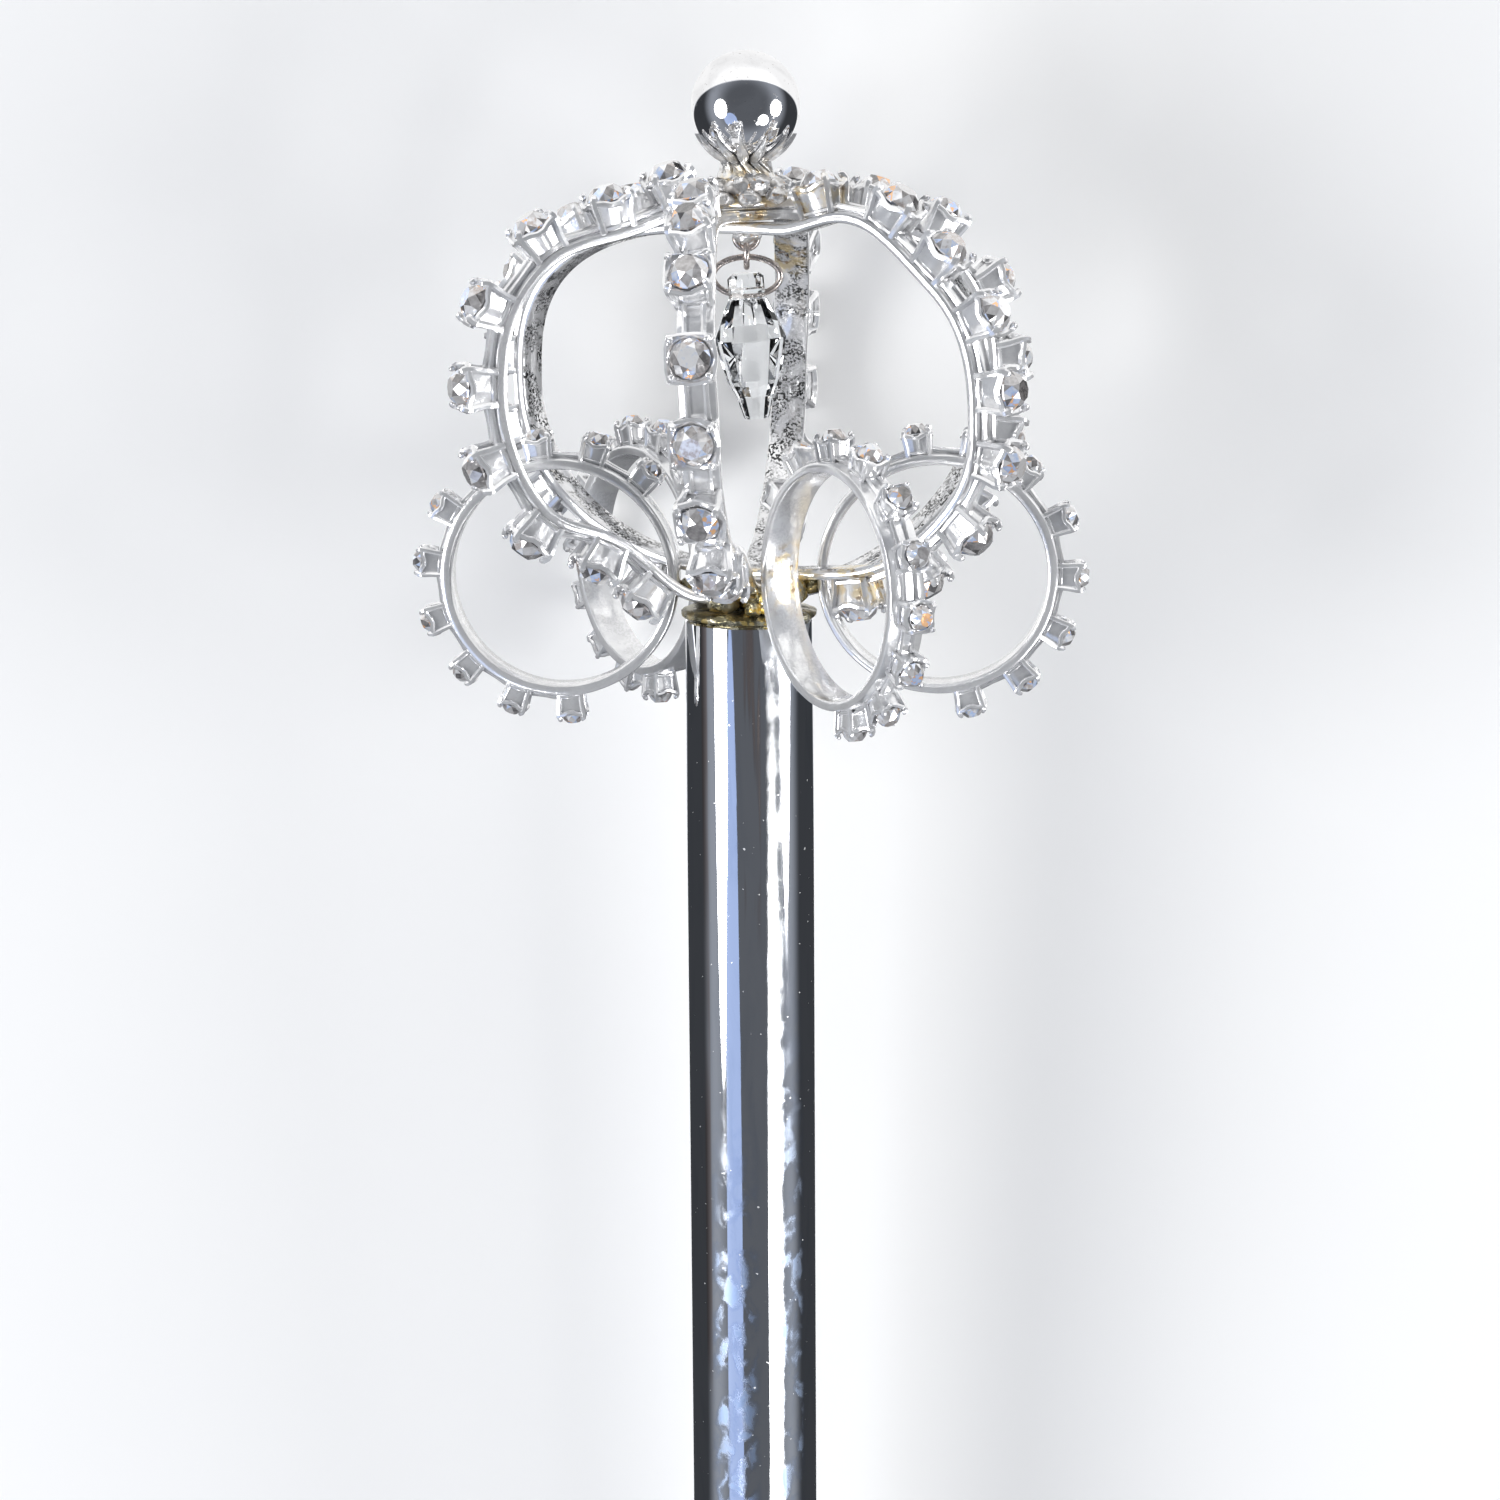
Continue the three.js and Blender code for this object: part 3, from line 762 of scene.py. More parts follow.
# %% Sizes of the rings
RING_RADIUS = 11.9
RING_PITCH = 25
RING_STRIP = {"width": 4.1, "thick": 1.05}
RINGS = {
    "ring_front_right": {"azimuth": 32.8, "shift": -1.97, "reach": 19.2, "height": 5.9, "breadth": 11.2},
    "ring_right": {"azimuth": 85, "shift": 0, "reach": 18.75, "height": 4.7, "breadth": 11.9},
    "ring_left": {"azimuth": -95, "shift": 0, "reach": 18.75, "height": 4.1, "breadth": 11.9},
    "ring_back_left": {"azimuth": -147, "shift": 0, "reach": 18.75, "height": 3.6, "breadth": 11.9},
}
RING_ROWS = {
    "ring_front_right": (-80, 10),
    "ring_right": (-76, 9),
    "ring_left": (-94, 10),
    "ring_back_left": (-98, 10),
}


def ring_path(name):
    """The inner face of a ring. It starts at the side that faces the axis and rises on the outside."""
    ring = RINGS[name]
    outwards = heading(ring["azimuth"])
    middle = outwards * ring["reach"] + heading(ring["azimuth"] + 90) * ring["shift"]
    middle.z = ring["height"]
    half_breadth = ring["breadth"] - RING_STRIP["thick"]
    half_height = RING_RADIUS - RING_STRIP["thick"]
    points = []
    for i in range(PATH_POINTS):
        turn = 2 * math.pi * i / PATH_POINTS - math.pi
        sideways, upwards = half_breadth * math.cos(turn), half_height * math.sin(turn)
        points.append(middle + outwards * sideways + Vector((0, 0, upwards)))
    return Path(name, points, middle)


# %% [markdown]
# ## The strips
#
# The strip is flat inside and slightly crowned outside, with soft corners, and it was never quite even,
# so its width and thickness wander by a few hundredths of a millimetre. It is lofted along the path. The
# faces of its inner side are marked for the plating.

# %% Strip
STRIP_STEPS = 240
CORNER = 0.30
CROWN = 0.10
WANDER = 0.05


def strip_outline(name, strip):
    """The cross section at each share of the way round."""
    seed = float(sum(map(ord, name)) % 97)

    def outline(share):
        turn = 2 * math.pi * share
        loose = noise.noise(Vector((3 * math.cos(turn), 3 * math.sin(turn), seed)))
        half = strip["width"] / 2 + loose * WANDER - WANDER
        low = 0.0
        high = strip["thick"] + loose * WANDER - WANDER
        ease = CORNER * 0.3
        right = [(half - CORNER, low), (half - ease, low + ease), (half, low + CORNER)]
        right += [(half, high - CORNER), (half - ease, high - ease), (half - CORNER, high)]
        left = [(-a, b) for a, b in reversed(right)]
        middle = [(half * 0.4, high + CROWN * 0.8), (0, high + CROWN), (-half * 0.4, high + CROWN * 0.8)]
        return right + middle + left + [(0, low + 0.04)]

    return outline


def strip_mesh(path, strip, steps):
    outline = strip_outline(path.name, strip)
    mesh = loft(path.name + "_strip", path.sections(steps, outline), loop=True)
    centre = TURNED @ path.centre
    inside = mesh.attributes.new("inside", "FLOAT", "FACE")
    for face in mesh.polygons:
        towards = (centre - face.center).normalized()
        inside.data[face.index].value = 1.0 if face.normal.dot(towards) > 0.7 else 0.0
    return mesh


HOOP_PATHS = {name: hoop_path(name) for name in HOOPS}
RING_PATHS = {name: ring_path(name) for name in RINGS}
for name, path in HOOP_PATHS.items():
    add_piece(name + "_strip", strip_mesh(path, HOOP_STRIP, STRIP_STEPS), HOOP_PLATING, "stone_strip", name)
for name, path in RING_PATHS.items():
    ring_mesh = strip_mesh(path, RING_STRIP, STRIP_STEPS // 2)
    add_piece(name + "_strip", ring_mesh, RING_PLATING, "stone_strip", name)
print("hoop lengths", [round(p.length, 1) for p in HOOP_PATHS.values()])

# %% [markdown]
# ## One cup
#
# A cup is bent from thin sheet: a square foot, a wall that leans out behind a thick frame, a rim that
# dips between the corners, and a prong at each corner that is pressed over the edge of the stone. One cup
# is modelled in its own frame, with x across the strip, y along it and z outwards, and is then repeated.
# Bars of few sides are enough at this size.


# %% Bars, the wall and the prongs of a cup
def bar(points, radii, sides, loop=False):
    """Sections of a round bar through points, with a radius at each."""
    sections = []
    count = len(points)
    for i, point in enumerate(points):
        before = points[i - 1] if loop or i > 0 else point
        after = points[(i + 1) % count] if loop or i < count - 1 else point
        along = (after - before).normalized()
        guide = Vector((0, 0, 1)) if abs(along.z) < 0.9 else Vector((point.x, point.y, 0)).normalized()
        side = along.cross(guide).normalized()
        up = side.cross(along)
        turns = [2 * math.pi * k / sides + math.pi / sides for k in range(sides)]
        sections.append([point + (side * math.cos(t) + up * math.sin(t)) * radii[i] for t in turns])
    return sections


class Shape:
    """Points and faces of several lofts, gathered into one mesh."""

    def __init__(self):
        self.points = []
        self.faces = []

    def add(self, sections, loop=False):
        self.faces += loft_faces(len(sections), len(sections[0]), loop, len(self.points))
        self.points += [p for section in sections for p in section]

    def mesh(self, name):
        return mesh_of(name, self.points, self.faces, Matrix.Identity(4))


def square_ring(half, heights, per_side, roundness):
    """Points round a square with softened corners. heights gives z for a corner share, 1 at a corner."""
    points = []
    for k in range(4 * per_side):
        turn = math.pi / 4 + math.pi / 2 * k / per_side
        c, s = math.cos(turn), math.sin(turn)
        reach = half / max(abs(c), abs(s)) * (1 - roundness) + half * 1.15 * roundness
        corner = abs(math.cos(2 * (turn - math.pi / 4)))
        points.append(Vector((c * reach, s * reach, heights(corner))))
    return points


PRONG_WIDTHS = (1.2, 1.15, 1.2, 1.3, 1.3, 1.0, 0.45)


def cup_mesh(name, cup):
    shape = Shape()
    foot = cup["base"]
    top = cup["rim"]
    high = cup["rim_height"]
    wire = cup["wire"]
    dip = cup["dip"]
    wall_low = square_ring(foot * 0.80, lambda c: -0.2, 4, 0.2)
    wall_high = square_ring(top * 0.78, lambda c: high - dip * (1 - c ** 2), 4, 0.4)
    wall_inner = square_ring(top * 0.60, lambda c: high - dip * 1.2, 4, 0.6)
    wall_floor = square_ring(foot * 0.3, lambda c: high * 0.35, 4, 0.8)
    shape.add([wall_low, wall_high, wall_inner, wall_floor])
    lower = square_ring(foot * 0.93, lambda c: wire * 0.8, 2, 0.12)
    shape.add(bar(lower, [wire * 0.8] * len(lower), 6, loop=True), loop=True)
    upper = square_ring(top * 0.88, lambda c: high - wire * 0.7 - dip * (1 - c ** 1.6), 5, 0.35)
    shape.add(bar(upper, [wire * 1.05] * len(upper), 6, loop=True), loop=True)
    prong = [(0.90, foot, -0.1), (0.95, foot, high * 0.35), (0.80, top, high * 0.8), (0.80, top, high * 0.98)]
    prong += [(0.745, top, high * 1.09), (0.67, top, high * 1.15), (0.63, top, high * 1.16)]
    for sx, sy in ((1, 1), (-1, 1), (-1, -1), (1, -1)):
        points = [Vector((sx * share * size, sy * share * size, z)) for share, size, z in prong]
        shape.add(bar(points, [wire * w for w in PRONG_WIDTHS], 6))
    return shape.mesh(name)


HOOP_CUP = {"base": 1.75, "rim": 2.4, "rim_height": 3.1, "height": 4.2, "wire": 0.29, "dip": 0.55}
RING_CUP = {"base": 1.2, "rim": 1.55, "rim_height": 2.2, "height": 3.0, "wire": 0.21, "dip": 0.4}

# %% [markdown]
# ## One stone and one link
#
# A stone is a round brilliant: an eight-sided table, a ring of kites, a ring of sixteen small facets
# down to the girdle, and a point below that sits in the cup. Its facets stay flat, because the sparkle is
# in the flat faces. A link joins two cups: a narrow channel with a rail along each side.


# %% Stone and link
def circle(radius, height, count, offset=0.0):
    turns = [2 * math.pi * (k + offset) / count for k in range(count)]
    return [Vector((radius * math.cos(t), radius * math.sin(t), height)) for t in turns]


def stone_mesh(name, cup):
    girdle = cup["rim"] * 0.80
    top = cup["height"] - 0.05
    seat = cup["rim_height"] * 0.93
    rise = top - seat
    points = circle(girdle * 0.54, top, 8) + circle(girdle * 0.80, seat + rise * 0.62, 8, 0.5)
    points += circle(girdle, seat + rise * 0.08, 16) + circle(girdle, seat - rise * 0.06, 16)
    points += [Vector((0, 0, seat - girdle * 0.75))]
    faces = [tuple(range(8))]
    for k in range(8):
        n = (k + 1) % 8
        kite = 8 + k
        last = 8 + (k - 1) % 8
        faces.append((k, kite, n))
        faces.append((k, last, 16 + 2 * k, kite))
        faces.append((kite, 16 + 2 * k, 16 + 2 * k + 1))
        faces.append((kite, 16 + 2 * k + 1, 16 + (2 * k + 2) % 16))
    for k in range(16):
        n = (k + 1) % 16
        faces.append((16 + k, 32 + k, 32 + n, 16 + n))
        faces.append((32 + k, 48, 32 + n))
    return mesh_of(name, points, faces, Matrix.Identity(4))


def box_section(width, low, high, y):
    return [Vector((x, y, z)) for x, z in ((-width, low), (width, low), (width, high), (-width, high))]


def link_mesh(name, cup, pitch):
    """A link from one cup's foot to the next, with its ends inside both."""
    half = pitch / 2 - cup["base"] + 0.25
    width = cup["base"] * 0.52
    shape = Shape()
    shape.add([box_section(width, -0.15, cup["wire"] * 0.9, y) for y in (-half, half)])
    for side in (-1, 1):
        route = [Vector((side * width, y, cup["wire"] * 1.15)) for y in (-half, 0, half)]
        shape.add(bar(route, [cup["wire"] * w for w in (1.1, 0.85, 1.1)], 6))
    return shape.mesh(name)


def template(mesh):
    """An object that Geometry Nodes can repeat."""
    holder = bpy.data.objects.new(mesh.name, mesh)
    bpy.context.scene.collection.objects.link(holder)
    return holder


# %% [markdown]
# ## Rows of cups, stones and links
#
# On each side of a hoop the cups start at a distance from the foot and are evenly spaced, so Geometry
# Nodes can set them. The tree samples the path at each distance, works out which way is outwards there,
# turns one instance to stand on the strip, and leans it by a degree or two, as hand-soldered cups do.
# The instances are made real, each face gets a random number for the stones' painted reflections and
# flashes, and the material goes on last. The same tree sets stones and links.

# %% The row tree
SIDE_INPUTS = ("first", "pitch", "count")
ROW_INPUTS = {
    "Path": "NodeSocketObject",
    "Piece": "NodeSocketObject",
    "Finish": "NodeSocketMaterial",
    "Centre": "NodeSocketVector",
    "Lift": "NodeSocketFloat",
    "Lean": "NodeSocketFloat",
    "Seed": "NodeSocketInt",
    "Near first": "NodeSocketFloat",
    "Near pitch": "NodeSocketFloat",
    "Near count": "NodeSocketInt",
    "Far first": "NodeSocketFloat",
    "Far pitch": "NodeSocketFloat",
    "Far count": "NodeSocketInt",
}


def set_row(inputs, side, path, piece):
    """The part of the tree that sets the pieces of one side."""
    index = path.node("GeometryNodeInputIndex")
    distance = inputs[side + " first"] + index * inputs[side + " pitch"]
    sample = path.node("GeometryNodeSampleCurve", {"mode": "LENGTH"}, {"Curves": path, "Length": distance}, 1)
    along = sample.also("Tangent")
    outward = path.node("ShaderNodeVectorMath", {"operation": "SUBTRACT"}, {0: sample, 1: inputs["Centre"]})
    across = path.node("ShaderNodeVectorMath", {"operation": "CROSS_PRODUCT"}, {0: along, 1: outward})
    out = path.node("ShaderNodeVectorMath", {"operation": "CROSS_PRODUCT"}, {0: across, 1: along})
    unit = path.node("ShaderNodeVectorMath", {"operation": "NORMALIZE"}, {0: out})
    lift = path.node("ShaderNodeVectorMath", {"operation": "SCALE"}, {0: unit, "Scale": inputs["Lift"]})
    place = path.node("ShaderNodeVectorMath", {"operation": "ADD"}, {0: sample, 1: lift})
    axes = {"primary_axis": "Z", "secondary_axis": "X"}
    turn = path.node("FunctionNodeAxesToRotation", axes, {0: unit, 1: across})
    least = path.node("ShaderNodeCombineXYZ", inputs={0: inputs["Lean"] * -1, 1: inputs["Lean"] * -1})
    most = path.node("ShaderNodeCombineXYZ", inputs={0: inputs["Lean"], 1: inputs["Lean"]})
    seed = inputs["Seed"] + (1 if side == "Far" else 0)
    drawn = {0: least, 1: most, "ID": index, "Seed": seed}
    lean = path.node("FunctionNodeRandomValue", {"data_type": "FLOAT_VECTOR"}, drawn)
    leaning = path.node("FunctionNodeEulerToRotation", inputs={0: lean})
    turn = path.node("FunctionNodeRotateRotation", {"rotation_space": "LOCAL"}, {0: turn, 1: leaning})
    points = path.node("GeometryNodePoints", inputs={"Count": inputs[side + " count"], "Position": place})
    inputs = {"Points": points, "Instance": piece, "Rotation": turn}
    return path.node("GeometryNodeInstanceOnPoints", inputs=inputs)


def row_tree():
    tree = bpy.data.node_groups.new("row along a path", "GeometryNodeTree")
    sockets = {}
    for label, kind in ROW_INPUTS.items():
        sockets[label] = tree.interface.new_socket(label, in_out="INPUT", socket_type=kind).identifier
    tree.interface.new_socket("Geometry", in_out="OUTPUT", socket_type="NodeSocketGeometry")
    start = Wire(tree)
    group = start.node("NodeGroupInput")
    inputs = {label: group.also(label) for label in ROW_INPUTS}
    path = start.node("GeometryNodeObjectInfo", inputs={"Object": inputs["Path"]}, output="Geometry")
    piece = start.node("GeometryNodeObjectInfo", inputs={"Object": inputs["Piece"]}, output="Geometry")
    both = tree.nodes.new("GeometryNodeJoinGeometry")
    for side in ("Near", "Far"):
        tree.links.new(set_row(inputs, side, path, piece).socket, both.inputs[0])
    real = start.node("GeometryNodeRealizeInstances", inputs={0: Wire(tree, both.outputs[0])})
    facet = start.node("FunctionNodeRandomValue", inputs={"Seed": inputs["Seed"]}, output=1)
    named = {0: real, "Name": "facet", "Value": facet}
    real = start.node("GeometryNodeStoreNamedAttribute", {"data_type": "FLOAT", "domain": "FACE"}, named)
    done = start.node("GeometryNodeSetMaterial", inputs={0: real, "Material": inputs["Finish"]})
    output = tree.nodes.new("NodeGroupOutput")
    tree.links.new(done.socket, output.inputs[0])
    return tree, sockets


ROW_TREE, ROW_SOCKETS = row_tree()


# %% Setting one row
def row_mesh(name, values):
    """Runs the row tree with these inputs and returns the result as a plain mesh in its place."""
    holder = bpy.data.objects.new(name, bpy.data.meshes.new(name + "_empty"))
    bpy.context.scene.collection.objects.link(holder)
    modifier = holder.modifiers.new("row", "NODES")
    modifier.node_group = ROW_TREE
    for label, value in values.items():
        modifier[ROW_SOCKETS[label]] = value
    depsgraph = bpy.context.evaluated_depsgraph_get()
    mesh = bpy.data.meshes.new_from_object(holder.evaluated_get(depsgraph))
    mesh.name = name
    bpy.data.objects.remove(holder)
    mesh.transform(TURNED)
    return mesh


def hoop_places(path, hoop):
    """For each side of a hoop: the distance of its first cup, the pitch, and the number of cups."""
    first, pitch, count = hoop["near_row"]
    far_first, far_pitch, far_count = hoop["far_row"]
    return {"Near": (first, pitch, count), "Far": (path.length - far_first, -far_pitch, far_count)}


def ring_places(path):
    angle, count = RING_ROWS[path.name]
    first = path.distance_at((angle + 180) / 360)
    last = path.distance_at((angle + RING_PITCH * (count - 1) + 180) / 360)
    return {"Near": (first, (last - first) / (count - 1), count), "Far": (0.0, 0.0, 0)}


def moved_half(sides):
    """The same rows with one piece fewer, half a pitch further on, for the links between the cups."""
    halfway = {}
    for label, (first, pitch, count) in sides.items():
        halfway[label] = (first + pitch / 2, pitch, max(0, count - 1))
    return halfway


def set_stones(path, strip, sides, cup, seed):
    """Adds the cups, stones and links of one hoop or ring."""
    curve = path.as_curve()
    pitch = sides["Near"][1]
    kinds = [
        ("cups", cup_mesh("cup", cup), sides, CUP_PLATING, "stone_strip", 0.03),
        ("stones", stone_mesh("stone", cup), sides, CUT_STONE, "cut_stone", 0.03),
        ("links", link_mesh("link", cup, pitch), moved_half(sides), CUP_PLATING, "stone_strip", 0.0),
    ]
    for label, mesh, places, finish, slot, lean in kinds:
        single = template(mesh)
        values = {"Path": curve, "Piece": single, "Finish": finish, "Centre": tuple(path.centre)}
        values.update({"Lift": strip["thick"], "Lean": lean, "Seed": seed})
        for side, numbers in places.items():
            values.update({side + " " + key: number for key, number in zip(SIDE_INPUTS, numbers)})
        name = path.name + "_" + label
        sharp = 10 if label == "stones" else 45
        add_piece(name, row_mesh(name, values), finish, slot, path.name, sharp=sharp)
        bpy.data.objects.remove(single)
    bpy.data.objects.remove(curve)


for number, (name, path) in enumerate(HOOP_PATHS.items()):
    set_stones(path, HOOP_STRIP, hoop_places(path, HOOPS[name]), HOOP_CUP, 10 * number)
for number, path in enumerate(RING_PATHS.values()):
    set_stones(path, RING_STRIP, ring_places(path), RING_CUP, 100 + 10 * number)

# %% [markdown]
# ## Solder at the foot and at the crown
#
# The hoops are stacked and soldered, on a disc at the tube's rim and under the finial. Solder pulls itself
# into rounded lumps. Each lump here is a small ball, flattened and pushed about by noise.

# %% Solder disc
HUB_RADIUS = 6.75
HUB_TOP = 1.2
HUB_PLUG_DEPTH = 2.0
HUB_STEPS = 96


def hub_mesh():
    plug = inner - GAP
    profile = [(0, -HUB_PLUG_DEPTH), (plug, -HUB_PLUG_DEPTH), (plug, GAP), (HUB_RADIUS - 0.15, GAP)]
    profile += [(HUB_RADIUS, GAP + 0.2), (HUB_RADIUS, HUB_TOP * 0.7), (HUB_RADIUS - 0.5, HUB_TOP * 0.9)]
    profile += [(HUB_RADIUS * r, HUB_TOP) for r in (0.8, 0.65, 0.5, 0.35, 0.2)] + [(0, HUB_TOP)]
    sections = []
    for k in range(HUB_STEPS):
        turn = 2 * math.pi * k / HUB_STEPS
        section = []
        for r, z in profile:
            point = Vector((r * math.cos(turn), r * math.sin(turn), z))
            if z > GAP:
                point *= 1 - 0.02 * abs(noise.noise(point * 0.9))
                point.z -= 0.35 * abs(noise.noise(point * 0.5 + Vector((7, 0, 0))))
            section.append(point)
        sections.append(section)
    return loft("solder_disc", sections, loop=True)


add_piece("solder_disc", hub_mesh(), SOLDER, "solder", "solder_hub", sharp=60)


# %% Lumps of solder
def lumps_mesh(name, lumps):
    """Lumps, each an azimuth, a distance from the axis, a height, and a half width and half height."""
    solid = bmesh.new()
    for azimuth, reach, height, half, tall in lumps:
        centre = heading(azimuth) * reach + Vector((0, 0, height))
        before = len(solid.verts)
        bmesh.ops.create_icosphere(solid, subdivisions=3, radius=1.0)
        solid.verts.ensure_lookup_table()
        for vert in solid.verts[before:]:
            rough = 1 + 0.28 * noise.noise(vert.co * 1.7 + centre)
            vert.co = centre + Vector((vert.co.x * half, vert.co.y * half, vert.co.z * tall)) * rough
    mesh = bpy.data.meshes.new(name)
    solid.transform(TURNED)
    solid.to_mesh(mesh)
    solid.free()
    return mesh


FOOT_LUMPS = [
    (10, 1.0, 2.4, 3.0, 1.4),
    (25, 4.8, 2.4, 1.6, 1.2),
    (36, 6.6, 3.4, 1.5, 1.5),
    (55, 5.3, 3.0, 1.4, 1.5),
    (75, 3.8, 2.5, 1.6, 1.2),
    (82, 6.2, 3.6, 1.1, 1.1),
    (-35, 4.4, 2.0, 1.5, 0.9),
    (-98, 5.6, 3.0, 1.5, 1.2),
    (170, 3.6, 2.2, 1.7, 1.1),
    (-147, 5.8, 3.0, 1.4, 1.2),
    (120, 4.6, 2.4, 1.3, 1.0),
    (5, 5.4, 1.7, 0.9, 0.7),
    (18, 5.9, 1.8, 0.8, 0.6),
]
CROWN_LUMPS = [
    (-15, 2.6, 42.6, 1.5, 1.0),
    (25, 2.5, 42.8, 1.4, 1.1),
    (65, 2.7, 42.5, 1.4, 0.9),
    (-60, 2.6, 42.5, 1.5, 0.9),
    (-105, 2.4, 42.6, 1.5, 0.9),
    (-150, 2.5, 42.5, 1.4, 0.9),
    (160, 2.5, 42.6, 1.5, 0.9),
    (115, 2.6, 42.6, 1.4, 0.9),
    (5, 3.6, 41.6, 1.2, 0.8),
    (45, 4.2, 41.8, 1.1, 0.8),
    (-35, 3.9, 41.5, 1.1, 0.7),
    (0, 0.6, 37.7, 1.4, 0.6),
]
add_piece("foot_solder", lumps_mesh("foot_solder", FOOT_LUMPS), SOLDER, "solder", "solder_hub", sharp=80)
crown_lumps = lumps_mesh("crown_solder", CROWN_LUMPS)
add_piece("crown_solder", crown_lumps, CROWN_SOLDER, "stone_strip", "finial_collar", sharp=80)

# %% [markdown]
# ## The finial
#
# A short collar carries a stamped cup of twelve leaves, and the ball sits in it. A leaf is widest low down
# and comes to a thin point that lies against the ball. Its middle rib stands out, and the grooves between
# leaves are marked for painted shade in the plating.

# %% Collar and ball
COLLAR_RADIUS = 2.9
COLLAR_BOTTOM = 41.9
COLLAR_TOP = 43.3
COLLAR_ROUND = 0.2
BALL_RADIUS = 5.3
BALL_HEIGHT = 50.3
BALL_STEPS = 96

collar_profile = [
    (0, COLLAR_BOTTOM),
    (COLLAR_RADIUS - COLLAR_ROUND, COLLAR_BOTTOM),
    (COLLAR_RADIUS, COLLAR_BOTTOM + COLLAR_ROUND),
    (COLLAR_RADIUS - 0.25, 42.5),
    (COLLAR_RADIUS, COLLAR_TOP - COLLAR_ROUND),
    (COLLAR_RADIUS - COLLAR_ROUND, COLLAR_TOP),
    (0, COLLAR_TOP),
]
add_piece("collar", turned("collar", collar_profile, 64), LEAF_PLATING, "stone_strip", "finial_collar")

ball_profile = []
for i in range(BALL_STEPS // 2 + 1):
    turn = math.pi * i / (BALL_STEPS // 2) - math.pi / 2
    ball_profile.append((BALL_RADIUS * math.cos(turn), BALL_HEIGHT + BALL_RADIUS * math.sin(turn)))
ball_mesh = turned("ball", ball_profile, BALL_STEPS)
add_piece("ball", ball_mesh, BALL_PLATING, "ball_plating", "finial_ball", sharp=60)

# %% Leaf cup
LEAVES = 12
LEAF_ANGLE = math.radians(-6)
TIP_HEIGHT = 47.6
NOTCH_HEIGHT = 45.3
NECK_HEIGHT = 43.3
NECK_RADIUS = 2.9
BOWL_HEIGHT = 44.9
CUP_SKIN = 0.6
LEAF_SHOULDER = 0.55
LEAF_STEPS = 16
LEAF_LEVELS = 12


def leaf_cup_mesh():
    around = LEAVES * LEAF_STEPS
    bowl = BALL_RADIUS + 0.05

    def level(share, skin_share):
        points = []
        for k in range(around):
            turn = LEAF_ANGLE + 2 * math.pi * (k / LEAF_STEPS - 0.5) / LEAVES
            from_middle = abs((k % LEAF_STEPS) / LEAF_STEPS - 0.5) * 2
            top = TIP_HEIGHT + (NOTCH_HEIGHT - TIP_HEIGHT) * from_middle ** LEAF_SHOULDER
            height = BOWL_HEIGHT + (top - BOWL_HEIGHT) * share
            rib = math.exp(-((from_middle / 0.25) ** 2)) * 0.3 + 0.7 - 0.5 * from_middle ** 5
            skin = CUP_SKIN * rib * skin_share * (1 - 0.45 * share)
            drop = BALL_HEIGHT - height
            radius = math.sqrt(max(0.2, (bowl + skin) ** 2 - drop ** 2))
            points.append(Vector((radius * math.cos(turn), radius * math.sin(turn), height)))
        return points

    neck = ((0.86, -0.1), (1.0, 0.15), (0.93, 0.6))
    sections = [circle(NECK_RADIUS * share, NECK_HEIGHT + rise, around) for share, rise in neck]
    sections += [level(i / LEAF_LEVELS, 1.0) for i in range(LEAF_LEVELS + 1)]
    sections += [level(i / LEAF_LEVELS, 0.0) for i in reversed(range(LEAF_LEVELS + 1))]
    mesh = loft("leaf_cup_stamping", sections)
    # The grooves between leaves, where the plating paints shade.
    groove = mesh.attributes.new("groove", "FLOAT", "POINT")
    turned_back = TURNED.inverted()
    for vert in mesh.vertices:
        upright = turned_back @ vert.co
        turn = (math.atan2(upright.y, upright.x) - LEAF_ANGLE) / (2 * math.pi) * LEAVES
        from_middle = 1 - abs(turn % 1.0 - 0.5) * 2
        on_leaf = upright.z > NECK_HEIGHT + 0.7
        groove.data[vert.index].value = max(0.0, from_middle - 0.6) * 2.5 if on_leaf else 0.0
    return mesh


add_piece("leaf_cup_stamping", leaf_cup_mesh(), LEAF_PLATING, "leaf_cup_plating", "leaf_cup")

# %% [markdown]
# ## The glass drop and its wires
#
# The drop is pressed glass: a six-sided urn whose corners are cut to narrow facets, so twelve faces stand
# round it by turns wide and narrow. Clear glass shows its shape only by what it bends, so the edges are
# cut crisply and its wall is solid. It hangs by a ring through its neck, from a link and an eye, a few
# degrees out of line with the axis.

# %% Wires
WIRE_RADIUS = 0.3
WIRE_SIDES = 12
EYE_RADIUS = 1.1
EYE_HEIGHT = 37.6
LINK_RADIUS = 1.3
LINK_HEIGHT = 36.0
LOOP_HALF_WIDTH = 3.3
LOOP_HALF_HEIGHT = 1.9
LOOP_HEIGHT = 33.8


def wire_mesh(name, points, loop):
    sections = []
    count = len(points)
    normal = (points[1] - points[0]).cross(points[count // 3] - points[0]).normalized()
    for i, point in enumerate(points):
        before = points[i - 1] if loop or i > 0 else point
        after = points[(i + 1) % count] if loop or i < count - 1 else point
        side = (after - before).cross(normal).normalized()
        turns = [2 * math.pi * k / WIRE_SIDES for k in range(WIRE_SIDES)]
        sections.append([point + (side * math.cos(t) + normal * math.sin(t)) * WIRE_RADIUS for t in turns])
    return loft(name, sections, loop=loop)


